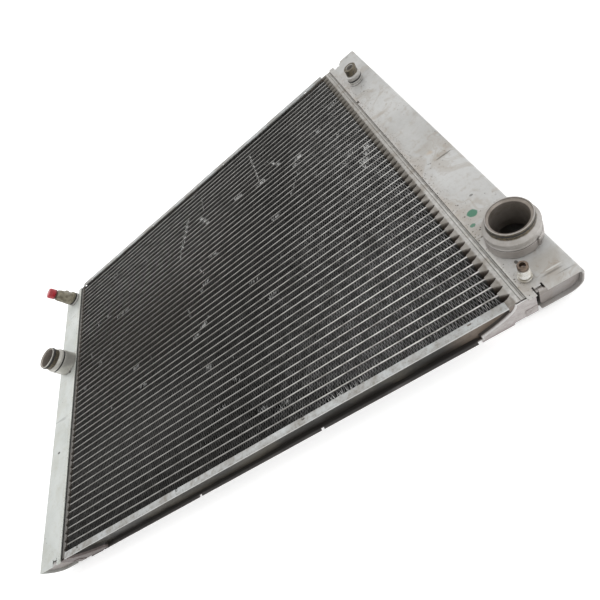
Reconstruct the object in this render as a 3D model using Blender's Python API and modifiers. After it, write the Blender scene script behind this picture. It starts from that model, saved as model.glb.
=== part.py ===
"""Brazed all-aluminium cross-flow oil cooler, lying on its back with its front face up.

X runs along the tubes, Y across them and Z out of the front face. Sizes are in metres. Every piece is
modelled in the core's own coordinates: X = 0 at the left tank's seam, Y = 0 on the near side plate and
Z = 0 on the surface that the cooler lies on. The empty "cooler_frame" then centres the assembly.
"""

import math

import bmesh
import bpy
from mathutils import Matrix, Vector

# ---------------------------------------------------------------- driving dimensions
GAP = 0.0003                 # clearance that touching pieces keep
CORE_LENGTH = 0.600          # from one tank's seam to the other's
TUBE_COUNT = 48
TUBE_PITCH = 0.0094
TUBE_THICK = 0.0020
TUBE_WALL = 0.00035
TUBES_PER_BANK = 4
FACE_Z = 0.037               # height of the front face above the back of the cooler
TUBE_Z = (0.0045, 0.0350)    # back and front nose of every flat tube
FIN_Z = (0.0053, 0.0342)     # back and front of the fin strips

# Distances from a seam: the fins' end, the tips of the header's tube collars, the bottom of the pockets
# between them and the header's tank side.
LEFT_END = {"fins": 0.0085, "tip": 0.0072, "root": 0.0036, "back": 0.0010}
RIGHT_END = {"fins": 0.0150, "tip": 0.0135, "root": 0.0065, "back": 0.0035}
HEADER_Z0 = 0.0033
RIM_THICK = 0.0015
TUBE_SETBACK = 0.0010        # the tubes' open ends stop this far short of the header's tank side
RIM_LAP = 0.0045             # how far the header's rims reach under the tank's sheet
COLLAR_WALL = 0.0008

TANK_WIDTH = 0.045
TANK_DEPTH = 0.030
TANK_WALL = 0.0015
TANK_FRONT_RADIUS = 0.0040
TANK_BACK_RADIUS = 0.0130
TANK_SETBACK = 0.0012        # the tank's sheet starts this far behind the seam
NEAR_OVERHANG = 0.0080       # how far the tanks' sheet runs past the outermost webs
FAR_OVERHANG = 0.0020
CAP_THICK = 0.0015
NEAR_CAP_RECESS = 0.0030     # the end caps sit this far inside the sheet's edge
FAR_CAP_RECESS = 0.0075
TONGUE_END = 0.0005          # the near caps' tongues reach this far in, below the recess in the sheet
END_RECESS = (0.0084, 0.0168)    # the recess for a cap's tab, measured from the seam
SEAM_NOTCH = (0.349, 0.006, 0.0030)    # middle, length and depth of the notch in the right tank's edge

WEB_THICK = 0.0012
FLANGE_WIDTH = 0.0066
EAR_THICK = 0.0015
NEAR_EAR_DROP = 0.0030       # how far the ears stay below the front face
FAR_EAR_DROP = 0.0070
EAR_SETBACK = 0.0005         # the ears stay this far inside the flanges' edge
EAR_REACH = 0.0080           # the side plates' ears pass the seam by this much
RAMP_START = 0.0300          # where a web starts to climb to its ear, from the seam
RAMP_END = 0.0130
NOTCH_FIRST = 0.0325         # distance of the first flange notch from the left tank's seam
NOTCH_SPACING = 0.1740
NOTCH_SIZE = (0.0035, 0.0024)

PORT_ROUND = 32              # facets around the large necks
SMALL_ROUND = 24             # and around the small fittings
VENT_ROUND = 20
RIGHT_PORT = (0.6255, 0.0480)
LEFT_PORT = (-0.0215, 0.2960)
PORT_HOLE_R = 0.0166
PORT_BORE_R = 0.0150
LIP_WALL = 0.0010
RIGHT_BASE_R = 0.0222
LEFT_BASE_R = 0.0200
SPIGOT = (0.6195, 0.3920)
SPIGOT_HOLE_R = 0.0060
STUB = (-0.0205, 0.4450)
STUB_HOLE_R = 0.0080
STUB_TILT = math.radians(-12)    # about Y: the stub leans away from the core
VENT = (0.6105, 0.0100)
VENT_HOLE_R = 0.0038
VENT_TOP_R = 0.0039          # the bleed screw's ribbed body widens from its head to its foot
VENT_FOOT_R = 0.0050

# ---------------------------------------------------------------- values that follow from them
CORE_WIDTH = (TUBE_COUNT + 1) * TUBE_PITCH
HALF_TUBE = TUBE_THICK / 2
TUBE_CENTRES = [(i + 1) * TUBE_PITCH for i in range(TUBE_COUNT)]
TANK_BACK_Z = FACE_Z - TANK_DEPTH
NEAR_END = -NEAR_OVERHANG
FAR_END = CORE_WIDTH + FAR_OVERHANG
EAR_OUT = FLANGE_WIDTH - EAR_SETBACK
EAR_IN = EAR_OUT - EAR_THICK
HEADER_ENDS = (-EAR_IN + GAP, FAR_END - 2 * GAP)
X_CENTRE = (RIGHT_PORT[0] + RIGHT_BASE_R - TANK_WIDTH) / 2
Y_CENTRE = (CORE_WIDTH + FLANGE_WIDTH - NEAR_OVERHANG) / 2


# ---------------------------------------------------------------- scene helpers
def clear_scene():
    for old in list(bpy.data.objects):
        bpy.data.objects.remove(old, do_unlink=True)


def make_collection(name):
    group = bpy.data.collections.new(name)
    bpy.context.scene.collection.children.link(group)
    return group


def make_material(name, colour, roughness, metallic):
    made = bpy.data.materials.new(name)
    made.use_nodes = True
    shader = made.node_tree.nodes["Principled BSDF"]
    shader.inputs["Base Color"].default_value = (*colour, 1.0)
    shader.inputs["Roughness"].default_value = roughness
    shader.inputs["Metallic"].default_value = metallic
    return made


clear_scene()
PARTS = make_collection("oil_cooler")
CUTTERS = make_collection("cutters")
FRAME = bpy.data.objects.new("cooler_frame", None)
FRAME.location = (-X_CENTRE, -Y_CENTRE, 0.0)
PARTS.objects.link(FRAME)

TANK_METAL = make_material("tank_aluminium", (0.60, 0.60, 0.58), 0.45, 0.9)
CORE_METAL = make_material("core_aluminium", (0.10, 0.10, 0.10), 0.60, 0.7)
HEADER_METAL = make_material("header_aluminium", (0.42, 0.40, 0.38), 0.50, 0.9)
CAP_METAL = make_material("end_cap_aluminium", (0.36, 0.34, 0.33), 0.50, 0.9)
PLATE_METAL = make_material("side_plate_aluminium", (0.45, 0.45, 0.43), 0.50, 0.9)
PORT_METAL = make_material("port_aluminium", (0.50, 0.50, 0.48), 0.40, 0.9)
STUB_METAL = make_material("cast_aluminium", (0.26, 0.25, 0.22), 0.60, 0.8)
VENT_METAL = make_material("plated_steel", (0.62, 0.62, 0.62), 0.25, 1.0)
SEAL_RUBBER = make_material("seal_rubber", (0.02, 0.02, 0.02), 0.60, 0.0)
RED_PLASTIC = make_material("cap_plastic", (0.55, 0.02, 0.03), 0.35, 0.0)


def add_object(name, mesh, finish=None, location=(0, 0, 0), group=PARTS):
    made = bpy.data.objects.new(name, mesh)
    group.objects.link(made)
    made.location = location
    if group is PARTS:
        made.parent = FRAME
    if finish:
        made.data.materials.clear()
        made.data.materials.append(finish)
    return made


def box_mesh(name, *corners):
    """One mesh holding a box for each pair of corners."""
    work = bmesh.new()
    for low, high in corners:
        low, high = Vector(low), Vector(high)
        size = high - low
        place = Matrix.Translation((low + high) / 2) @ Matrix.Diagonal((*size, 1.0))
        bmesh.ops.create_cube(work, size=1.0, matrix=place)
    mesh = bpy.data.meshes.new(name)
    work.to_mesh(mesh)
    work.free()
    return mesh


def cylinder_mesh(name, radius, low, high, facets):
    work = bmesh.new()
    place = Matrix.Translation((0, 0, (low + high) / 2))
    bmesh.ops.create_cone(work, cap_ends=True, segments=facets, radius1=radius, radius2=radius,
                          depth=high - low, matrix=place)
    mesh = bpy.data.meshes.new(name)
    work.to_mesh(mesh)
    work.free()
    return mesh


def outline_mesh(name, outline, low, high, turn=Matrix.Identity(4)):
    """A closed outline in its own XY plane, extruded from low to high along its own Z, then turned."""
    curve = bpy.data.curves.new(name, "CURVE")
    curve.dimensions = "2D"
    curve.fill_mode = "BOTH"
    curve.extrude = (high - low) / 2
    spline = curve.splines.new("POLY")
    spline.points.add(len(outline) - 1)
    for point, (x, y) in zip(spline.points, outline):
        point.co = (x, y, 0.0, 1.0)
    spline.use_cyclic_u = True
    drawn = bpy.data.objects.new(name, curve)
    CUTTERS.objects.link(drawn)
    bpy.context.view_layer.update()
    mesh = bpy.data.meshes.new_from_object(drawn.evaluated_get(bpy.context.evaluated_depsgraph_get()))
    mesh.name = name
    work = bmesh.new()
    work.from_mesh(mesh)
    bmesh.ops.remove_doubles(work, verts=work.verts, dist=0.00001)
    bmesh.ops.transform(work, verts=work.verts, matrix=turn @ Matrix.Translation((0, 0, (low + high) / 2)))
    bmesh.ops.recalc_face_normals(work, faces=work.faces)
    work.to_mesh(mesh)
    work.free()
    bpy.data.objects.remove(drawn)
    bpy.data.curves.remove(curve)
    return mesh


def combine(target, mesh, operation, location=(0, 0, 0)):
    """Cuts a mesh from an object, or joins it to it, and leaves the modifier on the object."""
    tool = add_object(f"{target.name}_{operation.lower()}", mesh, None, location, CUTTERS)
    tool.parent = FRAME
    tool.hide_render = True
    tool.display_type = "WIRE"
    modifier = target.modifiers.new(tool.name, "BOOLEAN")
    modifier.object = tool
    modifier.operation = operation
    modifier.solver = "EXACT"


def cut(target, mesh, location=(0, 0, 0)):
    combine(target, mesh, "DIFFERENCE", location)


def join(target, mesh, location=(0, 0, 0)):
    combine(target, mesh, "UNION", location)


def turned(name, profile, place, finish, facets=PORT_ROUND):
    """A shape turned about its own Z. The profile runs down its outer side, and it is a closed loop
    unless it starts on the axis, where it then ends too."""
    mesh = bpy.data.meshes.new(name)
    count = len(profile)
    edges = [(i, (i + 1) % count) for i in range(count)]
    if profile[0][0] == 0.0:
        edges.pop()
    mesh.from_pydata([(r, 0.0, z) for r, z in profile], edges, [])
    made = add_object(name, mesh, finish, (place[0], place[1], FACE_Z))
    screw = made.modifiers.new("turn", "SCREW")
    screw.steps = facets
    screw.render_steps = facets
    screw.merge_threshold = 0.0001
    screw.use_merge_vertices = True
    screw.use_smooth_shade = True
    return made


def arc(centre, radius, start, end, count):
    """Points on an arc, in degrees, both ends included."""
    steps = [math.radians(start + (end - start) * i / count) for i in range(count + 1)]
    return [(centre[0] + radius * math.cos(a), centre[1] + radius * math.sin(a)) for a in steps]


def side_x(x, mirror):
    """A place drawn for the right-hand end, moved to the left-hand one where mirror is true."""
    return CORE_LENGTH - x if mirror else x


def mirrored(points):
    return [(CORE_LENGTH - x, other) for x, other in reversed(points)]


# ---------------------------------------------------------------- core
def build_core():
    """Banks of four flat tubes with the fin strips brazed between them, and the last fin strip."""
    fin_ends = (LEFT_END["fins"], CORE_LENGTH - RIGHT_END["fins"])
    tube_ends = (LEFT_END["back"] + TUBE_SETBACK, CORE_LENGTH - RIGHT_END["back"] - TUBE_SETBACK)
    centres = TUBE_CENTRES[:TUBES_PER_BANK]
    fins = ((fin_ends[0], HALF_TUBE + GAP, FIN_Z[0]), (fin_ends[1], centres[-1] + HALF_TUBE / 2, FIN_Z[1]))
    tubes = [((tube_ends[0], y - HALF_TUBE, TUBE_Z[0]), (tube_ends[1], y + HALF_TUBE, TUBE_Z[1]))
             for y in centres]
    bore = HALF_TUBE - TUBE_WALL
    bores = [((tube_ends[0] - GAP, y - bore, TUBE_Z[0] + TUBE_WALL),
              (tube_ends[1] + GAP, y + bore, TUBE_Z[1] - TUBE_WALL)) for y in centres]
    block = box_mesh("bank_fins", fins)
    for i in range(TUBE_COUNT // TUBES_PER_BANK):
        place = (0, i * TUBES_PER_BANK * TUBE_PITCH, 0)
        bank = add_object(f"tube_bank_{i + 1:02d}", block, CORE_METAL, place)
        join(bank, box_mesh("bank_tubes", *tubes), place)
        cut(bank, box_mesh("bank_bores", *bores), place)
    strip = ((fin_ends[0], TUBE_CENTRES[-1] + HALF_TUBE + GAP, FIN_Z[0]),
             (fin_ends[1], CORE_WIDTH - HALF_TUBE - GAP, FIN_Z[1]))
    add_object("far_fin_strip", box_mesh("far_fin_strip", strip), CORE_METAL)


# ---------------------------------------------------------------- headers
def header_outline(side):
    """The right-hand header seen from the front: a collar round each tube, pockets between collars."""
    tip, root, back = (CORE_LENGTH - side[key] for key in ("tip", "root", "back"))
    near, far = HEADER_ENDS
    collar = HALF_TUBE + COLLAR_WALL
    points = [(back, near), (back, far), (root, far)]
    for y in reversed(TUBE_CENTRES):
        points += [(root, y + TUBE_PITCH / 2), (tip, y + collar), (tip, y - collar)]
    points += [(root, TUBE_PITCH / 2), (root, near)]
    return list(reversed(points))


def build_header(name, mirror):
    """A comb of collars, with a low rim at the front that laps under the tank's sheet."""
    side = LEFT_END if mirror else RIGHT_END
    outline = header_outline(side)
    if mirror:
        outline = mirrored(outline)
    header = add_object(name, outline_mesh(name, outline, HEADER_Z0, FACE_Z), HEADER_METAL)

    def block(low, high, ends, z0, z1):
        x0, x1 = sorted((side_x(CORE_LENGTH + low, mirror), side_x(CORE_LENGTH + high, mirror)))
        return ((x0, ends[0], z0), (x1, ends[1], z1))

    rim_z = FACE_Z - TANK_WALL - GAP
    step_z = TUBE_Z[1] + 2 * GAP
    beyond = (HEADER_ENDS[0] - 0.001, HEADER_ENDS[1] + 0.001)
    step = block(GAP - side["root"], 0.001, beyond, step_z, FACE_Z + 0.001)
    rim = block(-side["back"] - 0.0005, RIM_LAP, HEADER_ENDS, rim_z - RIM_THICK, rim_z)
    slots = [block(-side["tip"] - 0.001, 0.001, (y - HALF_TUBE - GAP, y + HALF_TUBE + GAP),
                   TUBE_Z[0] - GAP, TUBE_Z[1] + GAP) for y in TUBE_CENTRES]
    cut(header, box_mesh("tube_slots", *slots))
    cut(header, box_mesh("rim_step", step))
    join(header, box_mesh("rim", rim))


# ---------------------------------------------------------------- tanks
def tank_section(inset):
    """The right tank's section in XZ, from the front seam round the outer wall to the back seam."""
    outer = CORE_LENGTH + TANK_WIDTH - inset
    front, back = FACE_Z - inset, TANK_BACK_Z + inset
    small, large = TANK_FRONT_RADIUS - inset, TANK_BACK_RADIUS - inset
    points = arc((outer - small, front - small), small, 90, 0, 4) if small > 0 else [(outer, front)]
    return points + arc((outer - large, back + large), large, 0, -90, 8)


def upright_mesh(name, section, mirror, near, far):
    """A section in XZ, extruded along Y from near to far."""
    if mirror:
        section = mirrored(section)
    return outline_mesh(name, section, -far, -near, Matrix.Rotation(math.pi / 2, 4, "X"))


def build_tank(name, mirror, holes):
    seam = CORE_LENGTH + TANK_SETBACK
    section = [(seam, FACE_Z), *tank_section(0.0), (seam, TANK_BACK_Z)]
    section += [(seam, TANK_BACK_Z + TANK_WALL), *reversed(tank_section(TANK_WALL)),
                (seam, FACE_Z - TANK_WALL)]
    tank = add_object(name, upright_mesh(name, section, mirror, NEAR_END, FAR_END), TANK_METAL)

    def notch(low, high, y0, y1, z0=FACE_Z - 0.004, z1=FACE_Z + 0.001):
        x0, x1 = sorted((side_x(CORE_LENGTH + low, mirror), side_x(CORE_LENGTH + high, mirror)))
        cut(tank, box_mesh("notch", ((x0, y0, z0), (x1, y1, z1))))

    start, stop = END_RECESS
    slot, slot_width = 0.0, 0.0014
    notch(0.0, EAR_REACH + 0.002, NEAR_END - 0.001, -EAR_IN + GAP, 0.0, FACE_Z - TANK_WALL - GAP)
    notch(start, stop, NEAR_END - 0.001, NEAR_END + 0.006)
    notch(start, start + slot_width, NEAR_END + 0.005, slot)
    notch(stop - slot_width, stop, NEAR_END + 0.005, slot)
    depth, slope = FAR_CAP_RECESS + CAP_THICK + GAP, 0.006
    outline = [(start, -depth), (stop, -depth), (stop, -slope), (stop + slope, 0.001), (start, 0.001)]
    if mirror:
        outline = [(-x, y) for x, y in reversed(outline)]
    recess = outline_mesh("far_recess", outline, FACE_Z - 0.004, FACE_Z + 0.001)
    cut(tank, recess, (side_x(CORE_LENGTH, mirror), FAR_END, 0))
    if not mirror:
        middle, length, deep = SEAM_NOTCH
        notch(0.0, TANK_SETBACK + deep, middle - length / 2, middle + length / 2, FACE_Z - TANK_WALL - GAP)
    for (x, y), radius, facets in holes:
        cut(tank, cylinder_mesh("port_hole", radius, FACE_Z - 0.004, FACE_Z + 0.004, facets), (x, y, 0))


def build_end_cap(name, mirror, near):
    """A plate inside the end of a tank, with a locating tab that stands up in the sheet's recess."""
    left = CORE_LENGTH + EAR_REACH + 0.0032
    top, bottom = FACE_Z - TANK_WALL - GAP, TANK_BACK_Z + TANK_WALL + GAP
    tab_top, tab = FACE_Z - 0.0004, (left + 0.0002, left + 0.0040)
    section = [(tab[0], top), (tab[0], tab_top), (tab[1], tab_top), (tab[1], top)]
    section += [*tank_section(TANK_WALL + GAP), *arc((left + 0.004, bottom + 0.004), 0.004, 270, 180, 5)]
    start = NEAR_END + NEAR_CAP_RECESS if near else FAR_END - FAR_CAP_RECESS - CAP_THICK
    cap = add_object(name, upright_mesh(name, section, mirror, start, start + CAP_THICK), CAP_METAL)
    if near:
        x0, x1 = sorted((side_x(CORE_LENGTH + END_RECESS[0] + 0.0012, mirror),
                         side_x(CORE_LENGTH + END_RECESS[1] - 0.0012, mirror)))
        join(cap, box_mesh("tongue", ((x0, start + 0.0004, top - 0.0015), (x1, TONGUE_END, top - 0.0003))))


# ---------------------------------------------------------------- side plates
def build_side_plate(name, far):
    """A channel whose web closes the fins, with flanges turned outwards and an ear at each end."""
    side = -1.0 if far else 1.0
    base = CORE_WIDTH if far else 0.0

    def out(distance):
        return base - side * distance

    web_in, web_out = -HALF_TUBE + 0.0001, -HALF_TUBE + 0.0001 + WEB_THICK
    right = [(CORE_LENGTH - RAMP_START, web_in, web_out), (CORE_LENGTH - RAMP_END, EAR_IN, EAR_OUT),
             (CORE_LENGTH + EAR_REACH, EAR_IN, EAR_OUT)]
    left = [(CORE_LENGTH - x, a, b) for x, a, b in reversed(right)]
    path = left + right
    outline = [(x, out(a)) for x, a, b in path] + [(x, out(b)) for x, a, b in reversed(path)]
    if far:
        outline = list(reversed(outline))
    drop = FAR_EAR_DROP if far else NEAR_EAR_DROP
    plate = add_object(name, outline_mesh(name, outline, 0.0030, FACE_Z - drop), PLATE_METAL)

    def strip(x0, x1, a, b, z0, z1):
        low, high = sorted((out(a), out(b)))
        return box_mesh("strip", ((x0, low, z0), (x1, high, z1)))

    start, end = LEFT_END["tip"] + GAP, CORE_LENGTH - RIGHT_END["tip"] - GAP
    for z0, z1 in ((0.0, WEB_THICK), (FACE_Z - WEB_THICK, FACE_Z)):
        join(plate, strip(start, end, web_in, FLANGE_WIDTH, z0, z1))
    inset = 0.0002
    for z0, z1 in ((0.0004, 0.0040), (FACE_Z - drop - 0.0010, FACE_Z - 0.0004)):
        join(plate, strip(RAMP_START, CORE_LENGTH - RAMP_START, web_in + inset, web_out + inset, z0, z1))
    half, depth = NOTCH_SIZE[0] / 2, NOTCH_SIZE[1]
    for i in range(4):
        x = NOTCH_FIRST + i * NOTCH_SPACING
        cut(plate, strip(x - half, x + half, FLANGE_WIDTH - depth, FLANGE_WIDTH + 0.001, -0.001, 0.003))
        cut(plate, strip(x - half, x + half, web_out + 0.0006, web_out + 0.0006 + depth,
                         FACE_Z - 0.003, FACE_Z + 0.001))


# ---------------------------------------------------------------- fittings
def ring_profile(inner, outer, low, high, edge=0.0006):
    """A plain ring with chamfered top edges."""
    return [(inner, high), (outer - edge, high), (outer, high - edge), (outer, low), (inner, low)]


def neck_profile(step, collar, waist, groove, lip, top):
    """A hose neck: a sleeve in the tank, a collar on the base ring, a taper, a groove and a lip whose
    bore opens out at the top."""
    sleeve = PORT_HOLE_R - GAP
    return [
        (lip - LIP_WALL, top), (lip - 0.0005, top), (lip, top - 0.0005), (lip, groove[1]),
        (groove[2], groove[1]), (groove[2], groove[0]), (lip, groove[0]), (lip, waist),
        (collar, waist - 0.0030), (collar, step), (sleeve, step), (sleeve, -0.0040),
        (PORT_BORE_R, -0.0040), (PORT_BORE_R, groove[1] + 0.0004), (lip - LIP_WALL, top - 0.0010),
    ]


def torus(name, place, major, minor, height, finish=SEAL_RUBBER, facets=SMALL_ROUND):
    count = 6
    section = [(major + minor * math.cos(-2 * math.pi * i / count),
                height + minor * math.sin(-2 * math.pi * i / count)) for i in range(count)]
    return turned(name, section, place, finish, facets)


def add_lug(base, place, azimuth, base_radius, foot, top):
    """A small upright lug on the outside of a base ring. Its foot runs into the ring from foot[0] up to
    foot[1], and its post goes on up to top, clear of the collar above the ring."""
    half, outer = 0.0015, base_radius + 0.0016
    root = ((base_radius - 0.0006, -half, foot[0]), (outer, half, foot[1]))
    post = ((base_radius + 0.0002, -half, foot[0]), (outer, half, top))
    for corners in (root, post):
        piece = box_mesh("lug", corners)
        piece.transform(Matrix.Rotation(math.radians(azimuth), 4, "Z"))
        join(base, piece, (place[0], place[1], FACE_Z))


def build_right_port():
    """The large neck on the right tank: base ring with a locating lug, neck and its O-ring."""
    base_top = 0.0112
    base = turned("right_port_base", ring_profile(PORT_HOLE_R, RIGHT_BASE_R, GAP, base_top), RIGHT_PORT,
                  PORT_METAL)
    add_lug(base, RIGHT_PORT, -65, RIGHT_BASE_R, (0.0030, base_top - 0.0008), 0.0135)
    neck = neck_profile(base_top + GAP, RIGHT_BASE_R - 0.0003, 0.0235, (0.0265, 0.0287, 0.0166),
                        0.0182, 0.0315)
    turned("right_port_neck", neck, RIGHT_PORT, PORT_METAL)
    torus("right_port_o_ring", RIGHT_PORT, 0.01765, 0.00072, 0.0276)


def build_left_port():
    """The neck on the left tank, which has a rubber ring between its base and its collar."""
    base_top = 0.0172
    base = turned("left_port_base", ring_profile(PORT_HOLE_R, LEFT_BASE_R, GAP, base_top), LEFT_PORT,
                  PORT_METAL)
    add_lug(base, LEFT_PORT, -60, LEFT_BASE_R, (0.0010, 0.0040), 0.0046)
    seal_top = base_top + GAP + 0.0016
    turned("left_port_gasket", ring_profile(PORT_HOLE_R, 0.0192, base_top + GAP, seal_top, 0.0004),
           LEFT_PORT, SEAL_RUBBER)
    neck = neck_profile(seal_top + GAP, 0.0196, 0.0255, (0.0318, 0.0350, 0.0158), 0.0175, 0.0370)
    turned("left_port_neck", neck, LEFT_PORT, PORT_METAL)
    torus("left_port_o_ring", LEFT_PORT, 0.01725, 0.00108, 0.0334)


def build_spigot():
    """A small stepped hose spigot on the right tank."""
    hole = SPIGOT_HOLE_R
    turned("spigot_base", ring_profile(hole, 0.0102, GAP, 0.0020), SPIGOT, PORT_METAL, SMALL_ROUND)
    bore, tip, collar, groove = 0.0046, 0.0082, 0.0096, 0.0083
    profile = [
        (bore, 0.0225), (tip - 0.0004, 0.0225), (tip, 0.0221), (tip, 0.0128), (collar, 0.0116),
        (collar, 0.0073), (groove, 0.0073), (groove, 0.0051), (collar, 0.0051), (collar, 0.0023),
        (hole - GAP, 0.0023), (hole - GAP, -0.0040), (bore, -0.0040),
    ]
    turned("spigot", profile, SPIGOT, PORT_METAL, SMALL_ROUND)
    torus("spigot_o_ring", SPIGOT, 0.00935, 0.00072, 0.0062)


def build_stub():
    """The cast stub on the left tank, with the push-on transport cap that closes it."""
    hole, bore = STUB_HOLE_R, 0.0055
    turned("stub_base", ring_profile(hole, 0.0135, GAP, 0.0030), STUB, PORT_METAL, SMALL_ROUND)
    turned("stub_gasket", ring_profile(hole, 0.0128, 0.0033, 0.0050, 0.0004), STUB, SEAL_RUBBER, SMALL_ROUND)
    body = [
        (0.0, 0.0425), (0.0069, 0.0425), (0.0073, 0.0421), (0.0073, 0.0330), (0.0098, 0.0316),
        (0.0110, 0.0270), (0.0114, 0.0180), (0.0124, 0.0110), (0.0124, 0.0080), (0.0, 0.0080),
    ]
    stub = turned("stub_fitting", body, STUB, STUB_METAL, SMALL_ROUND)
    stub.rotation_euler = (0, STUB_TILT, 0)
    place = (STUB[0], STUB[1], FACE_Z)
    lean = Matrix.Rotation(STUB_TILT, 4, "Y")
    lug = cylinder_mesh("lug", 0.0040, 0.0090, 0.0160, VENT_ROUND)
    lug.transform(lean @ Matrix.Translation((0, 0, 0.0150)) @ Matrix.Rotation(-math.pi / 2, 4, "X"))
    tilted_bore = cylinder_mesh("bore", bore, 0.0080, 0.0450, SMALL_ROUND)
    tilted_bore.transform(lean)
    join(stub, cylinder_mesh("foot", 0.0130, 0.0053, 0.0098, SMALL_ROUND), place)
    join(stub, cylinder_mesh("sleeve", hole - GAP, -0.0040, 0.0070, SMALL_ROUND), place)
    join(stub, lug, place)
    cut(stub, cylinder_mesh("sleeve_bore", bore, -0.0050, 0.0100, SMALL_ROUND), place)
    cut(stub, tilted_bore, place)
    cap = [
        (0.0, 0.0460), (0.0083, 0.0460), (0.0095, 0.0448), (0.0096, 0.0340), (0.0076, 0.0340),
        (0.0076, 0.0431), (0.0, 0.0431),
    ]
    made = turned("transport_cap", cap, STUB, RED_PLASTIC, SMALL_ROUND)
    made.rotation_euler = (0, STUB_TILT, 0)


def build_vent():
    """The bleed screw: a boss on the tank, a hollow-headed screw and the seal on its nose."""
    turned("vent_boss", ring_profile(VENT_HOLE_R, 0.0056, GAP, 0.0034), VENT, VENT_METAL, VENT_ROUND)
    shank, head, drilling = VENT_HOLE_R - GAP, 0.0041, 0.0005
    rings, pitch, crest = 7, 0.00145, 0.0002
    profile = [(0.0022, 0.0215), (head - 0.0004, 0.0215), (head, 0.0210), (head, 0.0160), (shank, 0.0152)]
    for i in range(rings):
        z, radius = 0.0145 - i * pitch, VENT_TOP_R + (VENT_FOOT_R - VENT_TOP_R) * i / (rings - 1)
        profile += [(radius + crest, z), (radius - crest, z - pitch / 2)]
    profile += [
        (shank, 0.0040), (shank, -0.0010), (0.0024, -0.0010), (0.0024, -0.0028), (shank, -0.0028),
        (shank, -0.0040), (0.0021, -0.0055), (drilling, -0.0055), (drilling, 0.0160), (0.0022, 0.0165),
    ]
    turned("vent_screw", profile, VENT, VENT_METAL, VENT_ROUND)
    torus("vent_seal", VENT, 0.0031, 0.00038, -0.0019, facets=VENT_ROUND)


def shade_round_pieces():
    for made in PARTS.objects:
        if made.type == "MESH":
            made.data.shade_smooth()
            made.data.set_sharp_from_angle(angle=math.radians(35))


def main():
    build_core()
    build_header("left_header", True)
    build_header("right_header", False)
    build_tank("left_tank", True, [(LEFT_PORT, PORT_HOLE_R, PORT_ROUND),
                                   (STUB, STUB_HOLE_R, SMALL_ROUND)])
    build_tank("right_tank", False, [(RIGHT_PORT, PORT_HOLE_R, PORT_ROUND),
                                     (SPIGOT, SPIGOT_HOLE_R, SMALL_ROUND),
                                     (VENT, VENT_HOLE_R, VENT_ROUND)])
    for side, mirror in (("left", True), ("right", False)):
        build_end_cap(f"{side}_tank_near_cap", mirror, True)
        build_end_cap(f"{side}_tank_far_cap", mirror, False)
    build_side_plate("near_side_plate", False)
    build_side_plate("far_side_plate", True)
    build_right_port()
    build_left_port()
    build_spigot()
    build_stub()
    build_vent()
    shade_round_pieces()


main()
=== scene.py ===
"""Looks of the brazed aluminium oil cooler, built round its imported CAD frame.

Sizes are in metres. Every piece is drawn in the core's own coordinates, as seen from the front face:
X = 0 at the left tank's seam, Y = 0 on the near side plate and Z = 0 on the front face, so that depths
inside the cooler are negative. ORIGIN is where that corner lies in the frame.
"""

import math

import bmesh
import bpy
import numpy as np
from mathutils import Matrix, Vector


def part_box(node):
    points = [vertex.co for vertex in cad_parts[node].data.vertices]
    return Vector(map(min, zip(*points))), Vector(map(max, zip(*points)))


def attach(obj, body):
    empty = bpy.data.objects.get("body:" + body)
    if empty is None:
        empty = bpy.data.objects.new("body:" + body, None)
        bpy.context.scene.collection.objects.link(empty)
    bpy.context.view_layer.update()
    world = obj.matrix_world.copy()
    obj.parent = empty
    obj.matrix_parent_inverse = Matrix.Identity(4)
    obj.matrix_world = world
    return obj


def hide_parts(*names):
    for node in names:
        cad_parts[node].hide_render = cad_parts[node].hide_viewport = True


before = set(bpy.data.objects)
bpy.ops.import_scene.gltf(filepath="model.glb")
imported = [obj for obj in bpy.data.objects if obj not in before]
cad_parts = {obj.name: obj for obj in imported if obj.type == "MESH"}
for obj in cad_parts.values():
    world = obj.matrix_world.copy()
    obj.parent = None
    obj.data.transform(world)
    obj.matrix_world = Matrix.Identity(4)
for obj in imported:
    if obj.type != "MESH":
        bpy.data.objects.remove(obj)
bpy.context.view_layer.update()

# ---------------------------------------------------------------- places that the frame gives
SEAM_SETBACK = 0.0012
FLANGE = 0.0066
NEAR_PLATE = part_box("near_side_plate")
ORIGIN = Vector((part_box("left_tank")[1].x + SEAM_SETBACK, NEAR_PLATE[0].y + FLANGE, NEAR_PLATE[1].z))


def local_box(node):
    """A CAD node's corners in the core's own coordinates."""
    low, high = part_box(node)
    return low - ORIGIN, high - ORIGIN


def middle(node):
    low, high = local_box(node)
    return (low + high) / 2


BANKS = sorted(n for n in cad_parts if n.startswith("tube_bank"))
TUBES_PER_BANK = 4
BANK_LOW, BANK_HIGH = local_box(BANKS[0])
TUBE_PITCH = (local_box(BANKS[1])[0].y - BANK_LOW.y) / TUBES_PER_BANK
TUBE_ENDS = (BANK_LOW.x, BANK_HIGH.x)
TUBE_DEPTH = (BANK_LOW.z, BANK_HIGH.z)
HALF_TUBE = 0.0010
STRIP_LOW, STRIP_HIGH = local_box("far_fin_strip")
FIN_ENDS = (STRIP_LOW.x, STRIP_HIGH.x)
FIN_DEPTH = (STRIP_LOW.z, STRIP_HIGH.z)
CORE_WIDTH = TUBE_PITCH * (len(BANKS) * TUBES_PER_BANK + 1)
CORE_LENGTH = local_box("right_tank")[0].x - SEAM_SETBACK

# ---------------------------------------------------------------- the view and its light
LENS = 23.04                    # mm, like the sensor's width
EYE = Vector((0.5465, -0.1384, 0.3204))
VIEW_RIGHT = Vector((0.7907, -0.2869, -0.5409))
VIEW_UP = Vector((0.5399, 0.7432, 0.3951))
SENSOR = 36.0
FLOOR_HALF = 40.0
FLOOR_GAP = 0.0005
FLOOR_GLOW = 0.25               # keeps the floor as white as the photograph's background
KEY_POWER = 10.0
FILL_POWER = 5.0

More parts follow.
